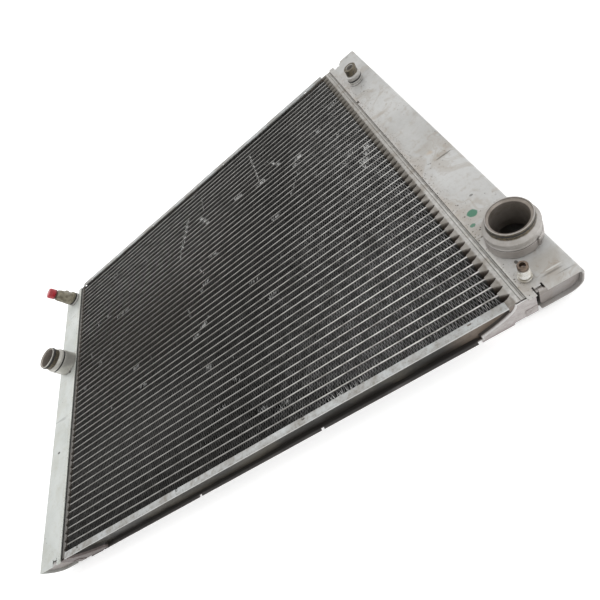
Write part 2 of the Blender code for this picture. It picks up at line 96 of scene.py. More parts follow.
# ---------------------------------------------------------------- fins and tubes
FIN_PITCH = 0.0015              # from leg to leg
FIN_SLANT = 0.00052             # each leg leans this far to either side of its middle
FIN_THICK = 0.00024
FIN_FRONT = FIN_DEPTH[1] + 0.0003
BEND_DEPTH = 0.0024             # a knocked fin folds over at this depth below its front edge
FIN_JITTER = 0.00010
TUBE_STEPS = 72
TUBE_NOSE_STEPS = 4
TUBE_WAVER = 0.00012
ROUND = 96                      # segments around the large fittings
SMALL_ROUND = 64
SEAL_ROUND = 14                 # sides of a seal's section
SEED = 7
SMALL_KNOCKS = 60
RIGHT_LIP = 0.0182              # radii of the two hose necks' lips
LEFT_LIP = 0.0175
LIP_WALL = 0.0010
PORT_HOLE = 0.0166              # radii inside the two ports' rings, sleeves and bores
NECK_SLEEVE = 0.0163
NECK_BORE = 0.0150
LUG_REACH = 0.0016
AXIS_WELD = 0.000005
STUB_TILT = math.radians(-12)
LEFT_COMB = (0.0072, 0.0036, 0.0010)    # each header's fold tips, fold roots and back edge from the seam
RIGHT_COMB = (0.0135, 0.0065, 0.0035)
POCKET_DEPTH = 0.0135
TANK_DENTS = 0.00018
FOLD_STEPS = 9
NOTCH_HALF = 0.00175
FLANGES = ((-0.0012, 0.0, (-0.0014, 0.0020)),       # heights, and how far out the notches reach
           (-0.0370, -0.0358, (0.0042, 0.0076)))
PLATE_FINE, PLATE_COARSE = 0.0007, 0.008            # steps along a side plate, near its ends and between
PLATE_END = 0.060
FAR_DROP, NEAR_DROP = 0.0070, 0.0030
RIM_TOP = -0.0014               # the headers' rims lie just below the tanks' sheet
RIM_UNDER_SHEET = -0.0019       # and lower still where they run in under it
RIM_UNDER = -0.0033
HEADER_BACK = -0.0337
WEB_OUT = 0.0003                # distances outward from the core to the side plates' webs and ears
WEB_THICK = 0.0012
EAR_OUT = 0.0061
NOTCHES = [0.0325 + k * 0.1740 for k in range(4)]
GROOVES = (0.0029, 0.0002)      # two lines pressed into each rim, measured from the seam

# Places where the fins were knocked: two ends, half width and how far the front edges fold, along X
KNOCKS = [
    ((0.262, 0.350), (0.284, 0.404), 0.0035, 0.0021),
    ((0.255, 0.332), (0.259, 0.344), 0.0022, 0.0015),
    ((0.311, 0.384), (0.323, 0.360), 0.0032, -0.0019),
    ((0.320, 0.425), (0.318, 0.392), 0.0014, 0.0014),
    ((0.428, 0.432), (0.427, 0.352), 0.0018, 0.0018),
    ((0.423, 0.350), (0.434, 0.352), 0.0040, 0.0022),
    ((0.382, 0.360), (0.392, 0.362), 0.0040, -0.0018),
    ((0.444, 0.386), (0.452, 0.384), 0.0030, 0.0016),
    ((0.458, 0.372), (0.466, 0.360), 0.0034, 0.0019),
    ((0.488, 0.336), (0.500, 0.342), 0.0046, -0.0020),
    ((0.462, 0.286), (0.490, 0.322), 0.0022, 0.0015),
    ((0.426, 0.269), (0.436, 0.271), 0.0036, 0.0021),
    ((0.560, 0.240), (0.576, 0.268), 0.0040, 0.0019),
    ((0.545, 0.270), (0.560, 0.276), 0.0026, -0.0014),
    ((0.536, 0.362), (0.544, 0.368), 0.0034, 0.0016),
    ((0.570, 0.388), (0.584, 0.392), 0.0036, -0.0014),
    ((0.552, 0.320), (0.562, 0.330), 0.0030, 0.0015),
    ((0.284, 0.240), (0.300, 0.253), 0.0028, 0.0020),
    ((0.255, 0.230), (0.259, 0.208), 0.0018, 0.0014),
    ((0.262, 0.173), (0.284, 0.184), 0.0026, -0.0019),
    ((0.140, 0.194), (0.149, 0.195), 0.0028, 0.0021),
    ((0.364, 0.193), (0.376, 0.196), 0.0024, 0.0021),
    ((0.383, 0.154), (0.396, 0.158), 0.0024, 0.0022),
    ((0.150, 0.157), (0.164, 0.157), 0.0024, 0.0017),
    ((0.273, 0.118), (0.282, 0.118), 0.0024, -0.0016),
    ((0.309, 0.082), (0.316, 0.077), 0.0020, 0.0014),
    ((0.277, 0.059), (0.289, 0.060), 0.0022, 0.0018),
    ((0.331, 0.032), (0.341, 0.032), 0.0022, 0.0020),
    ((0.352, 0.023), (0.368, 0.024), 0.0024, 0.0019),
    ((0.246, 0.033), (0.254, 0.033), 0.0022, 0.0016),
    ((0.288, 0.280), (0.296, 0.268), 0.0016, 0.0015),
    ((0.310, 0.290), (0.326, 0.287), 0.0030, -0.0012),
    ((0.104, 0.317), (0.130, 0.316), 0.0036, 0.0013),
    ((0.050, 0.345), (0.054, 0.330), 0.0018, 0.0014),
    ((0.074, 0.338), (0.084, 0.332), 0.0024, 0.0013),
    ((0.058, 0.250), (0.064, 0.252), 0.0028, 0.0014),
    ((0.036, 0.282), (0.044, 0.262), 0.0020, 0.0012),
    ((0.022, 0.222), (0.030, 0.224), 0.0024, 0.0014),
    ((0.300, 0.448), (0.312, 0.452), 0.0030, 0.0019),
    ((0.092, 0.417), (0.102, 0.420), 0.0024, 0.0013),
    ((0.412, 0.003), (0.450, 0.004), 0.0030, 0.0018),
]


# ---------------------------------------------------------------- materials
class Shader:
    """Builds one material's nodes round its Principled BSDF. Textures read the piece's own coordinates."""

    def __init__(self, name, metallic, roughness):
        self.material = bpy.data.materials.new(name)
        self.material.use_nodes = True
        self.tree = self.material.node_tree
        self.bsdf = self.tree.nodes["Principled BSDF"]
        self.bsdf.inputs["Metallic"].default_value = metallic
        self.bsdf.inputs["Roughness"].default_value = roughness
        self.place = self.add("ShaderNodeTexCoord").outputs["Object"]
        split = self.add("ShaderNodeSeparateXYZ", Vector=self.place)
        self.x, self.y, self.z = split.outputs
        self.paint = None

    def add(self, kind, **inputs):
        node = self.tree.nodes.new(kind)
        for name, value in inputs.items():
            self.feed(node.inputs[name.replace("_", " ")], value)
        return node

    def feed(self, socket, value):
        if isinstance(value, bpy.types.NodeSocket):
            self.tree.links.new(value, socket)
        else:
            socket.default_value = value

    def operate(self, kind, operation, *values):
        node = self.tree.nodes.new(kind)
        node.operation = operation
        for socket, value in zip(node.inputs, values):
            self.feed(socket, value)
        return node.outputs

    def vector(self, operation, *values):
        return self.operate("ShaderNodeVectorMath", operation, *values)

    def stretched(self, stretch):
        return self.vector("MULTIPLY", self.place, stretch)[0]

    def noise(self, scale, detail=4.0, rough=0.55, distortion=0.0, stretch=None):
        place = self.stretched(stretch) if stretch else self.place
        return self.add("ShaderNodeTexNoise", Vector=place, Scale=scale, Detail=detail,
                        Roughness=rough, Distortion=distortion).outputs[0]

    def cells(self, scale, stretch=None):
        place = self.stretched(stretch) if stretch else self.place
        return self.add("ShaderNodeTexVoronoi", Vector=place, Scale=scale).outputs["Distance"]

    def level(self, value, low, high):
        """0 below low and 1 above high, with a smooth step between them, or the other way round."""
        node = self.add("ShaderNodeMapRange", Value=value)
        node.interpolation_type = "SMOOTHSTEP"
        for name, number in (("From Min", low), ("From Max", high)):
            node.inputs[name].default_value = number
        return node.outputs[0]

    def band(self, value, centre, half):
        """1 where the value is close to centre."""
        off = self.math("ABSOLUTE", self.minus(value, centre))
        return self.level(off, half, 0.0)

    def math(self, operation, first, second=0.0):
        return self.operate("ShaderNodeMath", operation, first, second)[0]

    def times(self, first, second):
        return self.math("MULTIPLY", first, second)

    def plus(self, first, second):
        return self.math("ADD", first, second)

    def minus(self, first, second):
        return self.math("SUBTRACT", first, second)

    def most(self, first, second):
        return self.math("MAXIMUM", first, second)

    def mix(self, amount, first, second):
        node = self.tree.nodes.new("ShaderNodeMix")
        node.data_type = "RGBA"
        self.feed(node.inputs[0], amount)
        self.feed(node.inputs[6], self.colour(first))
        self.feed(node.inputs[7], self.colour(second))
        return node.outputs[2]

    @staticmethod
    def colour(value):
        return value if isinstance(value, bpy.types.NodeSocket) else (*value, 1.0)

    def blend(self, amount, low, high):
        """A number that runs from low to high with amount."""
        node = self.add("ShaderNodeMapRange", Value=amount)
        node.inputs["To Min"].default_value = low
        node.inputs["To Max"].default_value = high
        return node.outputs[0]

    def dab(self, centre, size, ragged=0.3, soft=0.25):
        """1 inside an uneven oval, whose half sizes are given along X, Y and Z."""
        away = self.vector("DIVIDE", self.vector("SUBTRACT", self.place, centre)[0], size)[0]
        edge = self.blend(self.noise(0.9 / max(size[0], size[1]), 3.0), -ragged, ragged)
        reach = self.plus(self.vector("LENGTH", away)["Value"], edge)
        return self.level(reach, 1.0, 1.0 - soft)

    def coat(self, mask, paint, share=None):
        """Lays a paint over the colour so far, where the mask is 1, at full strength or a share of it."""
        self.paint = self.mix(mask if share is None else self.times(mask, share), self.paint, paint)

    def finish(self, roughness=None, height=None, depth=0.0002, strength=0.6):
        self.feed(self.bsdf.inputs["Base Color"], self.paint)
        if roughness is not None:
            self.feed(self.bsdf.inputs["Roughness"], roughness)
        if height is not None:
            bump = self.add("ShaderNodeBump", Height=height, Distance=depth, Strength=strength)
            self.tree.links.new(bump.outputs["Normal"], self.bsdf.inputs["Normal"])
        return self.material


def sheet_aluminium(name, light, grey, stain, dirt, dabs=(), amount=1.0, dirty_edge=None):
    """Weathered sheet metal: clouds, water stains with hard rims, mottling, specks, scratches and dabs."""
    s = Shader(name, 0.45, 0.5)
    clouds = s.noise(11.0, 5.0, 0.6)
    s.paint = s.mix(s.level(clouds, 0.34, 0.68), light, grey)
    flow = s.noise(24.0, 3.0, 0.5, 0.9)
    s.coat(s.level(flow, 0.56, 0.62), stain, 0.34 * amount)
    s.coat(s.band(flow, 0.565, 0.012), stain, 0.40 * amount)
    mottle = s.noise(95.0, 4.0, 0.65, 0.3)
    s.coat(s.level(mottle, 0.50, 0.70), stain, 0.40 * amount)
    grain = s.noise(330.0, 5.0, 0.7)
    s.coat(s.level(grain, 0.50, 0.74), stain, 0.28)
    scratch = s.level(s.noise(80.0, 2.0, 0.5, 0.4, (0.12, 1.0, 1.0)), 0.66, 0.71)
    s.coat(scratch, dirt, 0.30)
    where = s.level(s.noise(17.0, 3.0), 0.50, 0.60)
    if dirty_edge:
        near, far = dirty_edge
        edge = s.level(s.plus(s.x, s.blend(s.noise(40.0, 3.0), -0.004, 0.004)), far, near)
        where = s.most(where, edge)
        s.coat(edge, stain, 0.22)
        dots = s.level(s.cells(430.0), 0.27, 0.15)
        s.coat(s.times(dots, edge), dirt, 0.80)
    specks = s.level(s.cells(190.0), 0.20, 0.10)
    s.coat(s.times(specks, where), dirt, 0.75 * amount)
    flecks = s.level(s.noise(420.0, 2.0, 0.5), 0.69, 0.73)
    s.coat(s.times(flecks, where), dirt, 0.85)
    # painted shade: the sides are painted darker further down, below the front face
    s.coat(s.level(s.z, -0.004, -0.014), (0.17, 0.15, 0.14), 0.55)
    for centre, size, paint, cover in dabs:
        ragged = 0.25 if cover > 0.5 else 0.7
        soft = 0.25 if cover > 0.5 else 0.8
        s.coat(s.dab(centre, size, ragged, soft), paint, cover)
    rough = s.blend(s.level(clouds, 0.3, 0.7), 0.40, 0.58)
    height = s.plus(s.times(grain, 0.3), s.times(mottle, 0.5))
    return s.finish(rough, height, 0.0003, 0.4)


def greasy(s):
    """Where the middle of the core is dark with grease."""
    return s.most(s.dab((0.175, 0.235, 0.0), (0.17, 0.095, 1.0), 0.5, 0.9),
                  s.dab((0.090, 0.300, 0.0), (0.11, 0.065, 1.0), 0.5, 0.9))


def fin_aluminium():
    """Thin fins: bright along their front edges, a painted highlight where they were knocked over, and
    painted shade, nearly black, further in.
    """
    s = Shader("fin_metal", 0.30, 0.55)
    across = s.minus(s.x, s.times(s.y, 0.45))
    swept = s.level(s.plus(across, s.blend(s.noise(9.0, 3.0), -0.06, 0.06)), 0.28, 0.54)
    edge_depth = s.blend(swept, FIN_FRONT - 0.0007, FIN_FRONT - 0.0013)
    into = s.minus(s.z, edge_depth)
    edge = s.level(into, 0.0002, 0.0009)
    dust = s.level(s.noise(7.0, 4.0, 0.6), 0.36, 0.66)
    fine = s.level(s.noise(140.0, 3.0, 0.7), 0.35, 0.70)
    # painted shade: further in than the front edges the fins are painted nearly black
    deep = s.mix(dust, (0.005, 0.005, 0.004), (0.014, 0.013, 0.012))
    lit = s.mix(fine, (0.16, 0.158, 0.155), (0.46, 0.455, 0.45))
    lit = s.mix(swept, s.mix(fine, (0.045, 0.044, 0.041), (0.125, 0.123, 0.118)), lit)
    dusty = s.dab((0.150, 0.090, 0.0), (0.20, 0.080, 1.0), 0.5, 0.9)
    lit = s.mix(s.times(dusty, 0.35), lit, (0.24, 0.236, 0.23))
    s.paint = s.mix(edge, deep, lit)
    s.coat(greasy(s), (0.022, 0.019, 0.016), 0.55)
    # painted highlight: fins knocked over, whose faces tilt up towards the light, are painted light grey
    # near the front
    bent = s.add("ShaderNodeAttribute")
    bent.attribute_name = "bent"
    knocked = s.level(bent.outputs["Fac"], 0.20, 0.62)
    knocked = s.times(knocked, s.level(s.noise(900.0, 2.0, 0.6), 0.34, 0.58))
    s.coat(knocked, (0.70, 0.70, 0.685), s.level(s.z, FIN_FRONT - 0.0030, FIN_FRONT - 0.0016))
    return s.finish(s.blend(dust, 0.46, 0.66))


def tube_aluminium():
    """Flat tubes: a pale nose with painted broken highlights, glossier where they are brighter, greasy in
    places, over sides darkened with painted shade.
    """
    s = Shader("tube_metal", 0.40, 0.42)
    # painted highlight: the mottling along the noses paints broken highlights, and the same mask makes them
    # glossier
    broken_highlight_and_gloss = s.level(s.noise(60.0, 4.0, 0.65, 0.0, (1.0, 2.5, 2.5)), 0.34, 0.60)
    s.paint = s.mix(broken_highlight_and_gloss, (0.26, 0.25, 0.235), (0.58, 0.57, 0.545))
    across = s.minus(s.x, s.times(s.y, 0.45))
    near = s.level(s.plus(across, s.blend(s.noise(9.0, 3.0), -0.05, 0.05)), 0.24, 0.50)
    s.coat(s.minus(1.0, near), (0.135, 0.130, 0.118), 0.62)
    # painted shade: below the nose the tubes' sides are painted dark, less so near the tube ends
    nose = s.level(s.z, TUBE_DEPTH[1] - 0.00048, TUBE_DEPTH[1] - 0.00016)
    ends = s.most(s.level(s.x, 0.012, 0.006), s.level(s.x, CORE_LENGTH - 0.018, CORE_LENGTH - 0.010))
    s.paint = s.mix(s.most(nose, s.times(ends, 0.6)), (0.075, 0.072, 0.068), s.paint)
    s.coat(greasy(s), (0.085, 0.078, 0.068), 0.50)
    return s.finish(s.blend(broken_highlight_and_gloss, 0.52, 0.34))


def header_aluminium(name, mirror):
    """The combs round the tube ends: beige-grey folds, and brown down in the pockets that is partly dirt
    and partly painted shade.
    """
    s = Shader(name, 0.40, 0.5)
    fine = s.noise(260.0, 5.0, 0.7)
    blot = s.noise(75.0, 3.0, 0.6)
    s.paint = s.mix(s.level(fine, 0.35, 0.7), (0.36, 0.35, 0.33), (0.52, 0.51, 0.49))
    s.coat(s.level(blot, 0.52, 0.66), (0.23, 0.19, 0.15), 0.45)
    # painted shade: dark in the rims' pressed grooves and wherever the header lies deeper than them
    grooves = s.level(s.z, -0.0017, -0.0021)
    s.coat(grooves, (0.070, 0.055, 0.045), 0.75)
    reach = s.x if mirror else s.minus(CORE_LENGTH, s.x)
    comb = s.level(reach, 0.0058, 0.0078)
    facet = s.mix(s.level(blot, 0.40, 0.60), (0.265, 0.245, 0.220), (0.165, 0.145, 0.122))
    s.coat(comb, facet, 0.8)
    # partly dirt, partly painted shade: the comb browns with depth and turns brown-black deep in the
    # pockets
    depth = s.plus(s.z, s.blend(blot, -0.0012, 0.0012))
    s.coat(s.level(depth, -0.0028, -0.0052), (0.165, 0.135, 0.112), 0.9)
    s.coat(s.level(s.z, -0.0095, -0.0135), (0.060, 0.048, 0.040))
    far = s.level(s.plus(s.y, s.blend(blot, -0.03, 0.03)), 0.06, 0.26)
    s.coat(s.times(far, comb), (0.060, 0.052, 0.042), 0.72)
    s.coat(far, (0.16, 0.145, 0.12), 0.30)
    if mirror:
        # painted shade over the whole left header, and a painted shadow, nearly black, along its seam with
        # the tank
        s.coat(0.78, (0.050, 0.043, 0.036))
        edge = s.level(reach, 0.0020, 0.0008)
        s.coat(edge, (0.020, 0.019, 0.018), 0.92)
    return s.finish(s.blend(fine, 0.42, 0.62), fine, 0.0002, 0.5)


def worn_metal(name, base, shade, dirt, metallic=0.5, rough=(0.36, 0.56), inner=None, scale=1.0,
               grime_band=None, dark_line=None):
    """Machined or brazed fittings with soft dirt. inner = (centre, radius) browns the bore with grime and
    painted shade;
    grime_band gives heights between which the outside is dirty, and dark_line heights of a dark line round
    the outside, with a brownish band below it."""
    s = Shader(name, metallic, 0.45)
    clouds = s.noise(60.0 * scale, 4.0, 0.6)
    fine = s.noise(420.0 * scale, 4.0, 0.7)
    rings = s.noise(900.0, 2.0, 0.6, 0.0, (0.04, 0.04, 1.0))
    s.paint = s.mix(s.level(clouds, 0.34, 0.66), base, shade)
    s.coat(s.level(fine, 0.55, 0.75), dirt, 0.35)
    spots = s.level(s.cells(330.0 * scale), 0.16, 0.07)
    spots = s.times(spots, s.level(s.noise(90.0 * scale), 0.50, 0.60))
    s.coat(spots, dirt, 0.6)
    outside = 1.0
    if inner:
        (cx, cy), radius = inner
        flat = s.add("ShaderNodeCombineXYZ", X=s.x, Y=s.y).outputs[0]
        away = s.vector("DISTANCE", flat, (cx, cy, 0.0))["Value"]
        bore = s.level(away, radius + 0.0002, radius - 0.0002)
        # partly grime, partly painted shade: the inside of the bore is painted brown
        bore_grime_and_shade = s.mix(s.level(clouds, 0.3, 0.7), (0.30, 0.265, 0.235), (0.17, 0.145, 0.12))
        s.coat(bore, bore_grime_and_shade, 0.9)
        outside = s.level(away, radius + 0.0002, radius + 0.0005)
    if dark_line:
        low, high = dark_line
        line = s.times(s.level(s.z, low - 0.0002, low), s.level(s.z, high + 0.0002, high))
        s.coat(s.times(line, outside), (0.030, 0.024, 0.020), 0.85)
        below = s.times(s.level(s.z, low, low - 0.0006), outside)
        s.coat(below, (0.24, 0.205, 0.19), 0.45)
    if grime_band:
        low, high = grime_band
        wave = s.plus(s.z, s.blend(clouds, -0.0009, 0.0009))
        foot = s.level(wave, low - 0.0006, low + 0.0004)
        band = s.times(s.times(foot, s.level(wave, high + 0.0006, high - 0.0004)), outside)
        s.coat(band, s.mix(s.level(fine, 0.4, 0.6), (0.11, 0.085, 0.045), (0.035, 0.028, 0.018)), 0.92)
    height = s.plus(s.times(rings, 0.4), s.times(fine, 0.6))
    return s.finish(s.blend(s.level(clouds, 0.3, 0.7), *rough), height, 0.00012, 0.5)


def cast_aluminium():
    s = Shader("cast_metal", 0.35, 0.55)
    lumps = s.noise(150.0, 4.0, 0.6)
    grain = s.cells(900.0)
    s.paint = s.mix(s.level(lumps, 0.34, 0.66), (0.245, 0.225, 0.165), (0.130, 0.115, 0.080))
    s.coat(s.level(s.noise(45.0, 3.0), 0.52, 0.66), (0.33, 0.32, 0.27), 0.5)
    height = s.plus(s.times(lumps, 0.6), s.times(grain, 0.4))
    return s.finish(s.blend(lumps, 0.42, 0.66), height, 0.0004, 0.6)


def plated_steel():
    s = Shader("plated_metal", 0.85, 0.25)
    haze = s.noise(120.0, 4.0, 0.6)
    fine = s.noise(700.0, 3.0, 0.6)
    s.paint = s.mix(s.level(haze, 0.36, 0.66), (0.66, 0.65, 0.62), (0.40, 0.37, 0.31))
    s.coat(s.level(fine, 0.56, 0.72), (0.16, 0.12, 0.08), 0.4)
    tip = s.level(s.z, 0.0150, 0.0162)
    s.coat(tip, s.mix(s.level(fine, 0.4, 0.6), (0.17, 0.115, 0.080), (0.085, 0.058, 0.045)), 0.88)
    return s.finish(s.blend(s.level(haze, 0.3, 0.7), 0.20, 0.42), fine, 0.0001, 0.4)


def seal_rubber():
    s = Shader("rubber", 0.0, 0.55)
    bloom = s.noise(180.0, 4.0, 0.65)
    s.paint = s.mix(s.level(bloom, 0.42, 0.72), (0.010, 0.010, 0.011), (0.045, 0.042, 0.038))
    return s.finish(s.blend(bloom, 0.38, 0.66), s.noise(900.0, 3.0), 0.00008, 0.5)


def red_plastic():
    s = Shader("red_plastic", 0.0, 0.3)
    s.bsdf.inputs["Specular IOR Level"].default_value = 0.55
    haze = s.noise(130.0, 4.0, 0.6)
    s.paint = s.mix(s.level(haze, 0.38, 0.70), (0.40, 0.012, 0.022), (0.30, 0.010, 0.018))
    # painted shade: the cap is painted darker at its foot
    s.coat(s.level(s.z, 0.0375, 0.0345), (0.13, 0.006, 0.010))
    scuffs = s.level(s.noise(260.0, 3.0, 0.6, 0.6, (1.0, 1.0, 0.3)), 0.64, 0.70)
    s.coat(scuffs, (0.55, 0.20, 0.20), 0.3)
    return s.finish(s.blend(haze, 0.18, 0.40), haze, 0.0001, 0.3)


# ---------------------------------------------------------------- mesh helpers
def mesh_of(name, vertices, faces):
    mesh = bpy.data.meshes.new(name)
    mesh.from_pydata([tuple(v) for v in vertices], [], [tuple(f) for f in faces])
    mesh.update()
    return mesh


def new_object(name, data):
    made = bpy.data.objects.new(name, data)
    bpy.context.scene.collection.objects.link(made)
    return made


def add_piece(name, mesh, material, nodes, body="root", sharp=40.0):
    """A visible piece that stands for the named CAD nodes and rides on their body."""
    made = new_object(name, mesh)
    made.location = ORIGIN
    mesh.materials.clear()
    mesh.materials.append(material)
    mesh.shade_smooth()
    mesh.set_sharp_from_angle(angle=math.radians(sharp))
    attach(made, body)
    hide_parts(*nodes)
    return made


def cleaned(node):
    """A CAD node's mesh in the core's coordinates, with its flat faces in one piece each."""
    work = bmesh.new()
    work.from_mesh(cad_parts[node].data)
    bmesh.ops.remove_doubles(work, verts=work.verts, dist=0.00001)
    bmesh.ops.dissolve_limit(work, angle_limit=math.radians(0.5), verts=work.verts, edges=work.edges)
    bmesh.ops.translate(work, verts=work.verts, vec=-ORIGIN)
    return work


def add_box(work, corner, opposite):
    """Adds a box between two opposite corners to a bmesh."""
    corner, opposite = Vector(corner), Vector(opposite)
    size = [abs(v) for v in opposite - corner]
    place = Matrix.Translation((corner + opposite) / 2) @ Matrix.Diagonal((*size, 1.0))
    bmesh.ops.create_cube(work, size=1.0, matrix=place)


def round_edges(work, width, segments=2, angle=30.0):
    sharp = [e for e in work.edges if len(e.link_faces) == 2 and e.calc_face_angle() > math.radians(angle)]
    bmesh.ops.bevel(work, geom=sharp, offset=width, offset_type="OFFSET", segments=segments,
                    profile=0.5, affect="EDGES", clamp_overlap=True)


def slice_along(work, axis, places):
    """Cuts the mesh into bands, so that it can bend between them."""
    normal = Vector((0, 0, 0))
    normal[axis] = 1.0
    for place in places:
        geom = list(work.verts) + list(work.edges) + list(work.faces)
        bmesh.ops.bisect_plane(work, geom=geom, dist=0.00002, plane_co=normal * place, plane_no=normal)


def to_mesh(name, work):
    bmesh.ops.triangulate(work, faces=[f for f in work.faces if len(f.verts) > 4])
    mesh = bpy.data.meshes.new(name)
    work.to_mesh(mesh)
    work.free()
    return mesh


def rounded(profile, radius, steps=3, closed=True):
    """A turned profile with its corners rounded, as far as its edges have room."""
    points = [Vector(p) for p in profile]
    result = []
    for i, corner in enumerate(points):
        if not closed and i in (0, len(points) - 1):
            result.append(corner)
            continue
        before, after = points[i - 1] - corner, points[(i + 1) % len(points)] - corner
        reach = min(radius, before.length * 0.45, after.length * 0.45)
        start, end = corner + before.normalized() * reach, corner + after.normalized() * reach
        for k in range(steps + 1):
            t = k / steps
            result.append(start * (1 - t) ** 2 + corner * 2 * t * (1 - t) + end * t ** 2)
    return result


def faced_outward(mesh, weld=False):
    """A closed mesh with its faces turned outward, after welding the vertices that meet on an axis."""
    work = bmesh.new()
    work.from_mesh(mesh)
    if weld:
        bmesh.ops.remove_doubles(work, verts=work.verts, dist=AXIS_WELD)
    bmesh.ops.recalc_face_normals(work, faces=work.faces)
    work.to_mesh(mesh)
    work.free()
    return mesh


def lathe(name, profile, place, segments=ROUND, closed=True, wobble=None):
    """Turns a profile of (radius, height) about an upright axis at place. An open one ends on the axis."""
    angles = [2 * math.pi * k / segments for k in range(segments)]
    vertices, faces = [], []
    for r, z in profile:
        for a in angles:
            reach = r + (wobble(a, r, z) if wobble else 0.0)
            vertices.append((place[0] + reach * math.cos(a), place[1] + reach * math.sin(a), z))
    count = len(profile)
    for i in range(count if closed else count - 1):
        j = (i + 1) % count
        for k in range(segments):
            m = (k + 1) % segments
            faces.append((i * segments + k, j * segments + k, j * segments + m, i * segments + m))
    return faced_outward(mesh_of(name, vertices, faces), not closed)


def applied(made):
    """The mesh of an object with its modifiers applied. The object is removed."""
    bpy.context.view_layer.update()
    mesh = bpy.data.meshes.new_from_object(made.evaluated_get(bpy.context.evaluated_depsgraph_get()))
    bpy.data.objects.remove(made)
    return mesh


def cut_out(made, cutter):
    """The mesh of one object with another cut out of it. Both objects are removed."""
    cut = made.modifiers.new("cut", "BOOLEAN")
    cut.object = cutter
    cut.operation = "DIFFERENCE"
    mesh = applied(made)
    bpy.data.objects.remove(cutter)
    return mesh


# ---------------------------------------------------------------- the core
def smooth_noise(x, seed, wavelength):
    """A repeatable smooth random curve between -1 and 1."""
    rng = np.random.default_rng(seed)
    total = np.zeros_like(x)
    for octave in range(3):
        phase = rng.uniform(0, 2 * math.pi, 2)
        total += np.sin(x * 2 * math.pi / wavelength * (1.7 ** octave) + phase[0]) * (0.6 ** octave)
        total += np.sin(x * 2 * math.pi / wavelength * (2.3 ** octave) * 1.31 + phase[1]) * (0.5 ** octave)
    return total / 3.0


def small_knocks():
    """Many little dents scattered over the middle of the core."""
    rng = np.random.default_rng(SEED + 50)
    made = []
    for _ in range(SMALL_KNOCKS):
        x, y = rng.uniform(0.06, 0.58), rng.uniform(0.03, 0.43)
        turn, length = rng.uniform(0, math.pi), rng.uniform(0.001, 0.004)
        end = (x + length * math.cos(turn), y + length * math.sin(turn))
        fold = rng.choice((-1, 1)) * rng.uniform(0.0007, 0.0015)
        made.append(((x, y), end, rng.uniform(0.0009, 0.0019), fold))
    return made


def knock(x, y):
    """How far the fins' front edges are folded along X at each place."""
    total = np.zeros_like(x)
    for (x0, y0), (x1, y1), width, fold in KNOCKS + small_knocks():
        along = np.array((x1 - x0, y1 - y0))
        t = np.clip(((x - x0) * along[0] + (y - y0) * along[1]) / (along @ along), 0, 1)
        away = np.hypot(x - x0 - t * along[0], y - y0 - t * along[1])
        total += fold * np.exp(-(away / width) ** 2)
    return total


def fin_strip(low, high, index):
    """One folded fin strip between two tubes: a ribbon that zigzags along X, as vertices and faces."""
    rng = np.random.default_rng(SEED * 1000 + index)
    count = int((FIN_ENDS[1] - FIN_ENDS[0]) / FIN_PITCH)
    middle_x = FIN_ENDS[0] + FIN_PITCH * (np.arange(count) + 0.5)
    middle_x = middle_x + smooth_noise(middle_x, SEED + index, 0.09) * FIN_PITCH * 0.4
    x = np.repeat(middle_x, 2)
    x += np.tile((-FIN_SLANT, FIN_SLANT), count) + rng.normal(0, FIN_JITTER * 0.4, count * 2)
    rising = np.tile((False, True, True, False), count // 2 + 1)[: count * 2]
    inset = FIN_THICK / 2
    y = np.where(rising, high - inset, low + inset)
    path = np.stack((x, y), 1)
    step = np.diff(path, axis=0)
    step /= np.linalg.norm(step, axis=1)[:, None]
    before, after = np.vstack((step[:1], step)), np.vstack((step, step[-1:]))
    normal = np.stack((-(before + after)[:, 1], (before + after)[:, 0]), 1)
    normal /= np.linalg.norm(normal, axis=1)[:, None]
    spread = np.sum(normal * np.stack((-before[:, 1], before[:, 0]), 1), 1)
    offset = normal * (FIN_THICK / 2 / np.maximum(spread, 0.4))[:, None]
    centre_y = (low + high) / 2
    fold = knock(x, centre_y + (y - centre_y) * 0.6)
    fold = fold * (1.0 + 0.35 * rng.normal(0, 1, count * 2)) + rng.normal(0, FIN_JITTER, count * 2)
    fold = np.clip(fold, -0.9 * BEND_DEPTH, 0.9 * BEND_DEPTH)
    drop = BEND_DEPTH - np.sqrt(BEND_DEPTH ** 2 - fold ** 2)
    levels = []
    for z, share in ((FIN_DEPTH[0], 0.0), (FIN_FRONT - BEND_DEPTH, 0.0), (FIN_FRONT, 1.0)):
        for side in (1.0, -1.0):
            edge = path + side * offset
            levels.append(np.stack((edge[:, 0] + fold * share, edge[:, 1], z - drop * share), 1))
    vertices = np.vstack(levels)
    bent = np.concatenate([np.abs(fold) / BEND_DEPTH] * len(levels))
    vertices[:, 1] = np.clip(vertices[:, 1], low, high)
    vertices[:, 0] = np.clip(vertices[:, 0], FIN_ENDS[0], FIN_ENDS[1])
    n = count * 2
    i = np.arange(n - 1)

    def wall(a, b):
        """Quads between two of the ribbon's six edge lines."""
        return np.stack((a * n + i, a * n + i + 1, b * n + i + 1, b * n + i), 1)

    faces = np.vstack((wall(2, 0), wall(4, 2), wall(1, 3), wall(3, 5), wall(5, 4), wall(0, 1)))
    ends = []
    for k, flip in ((0, 1), (n - 1, -1)):
        for a in (0, 2):
            ends.append([(a + b) * n + k for b in (0, 1, 3, 2)][::flip])
    return vertices, np.vstack((faces, ends)), bent


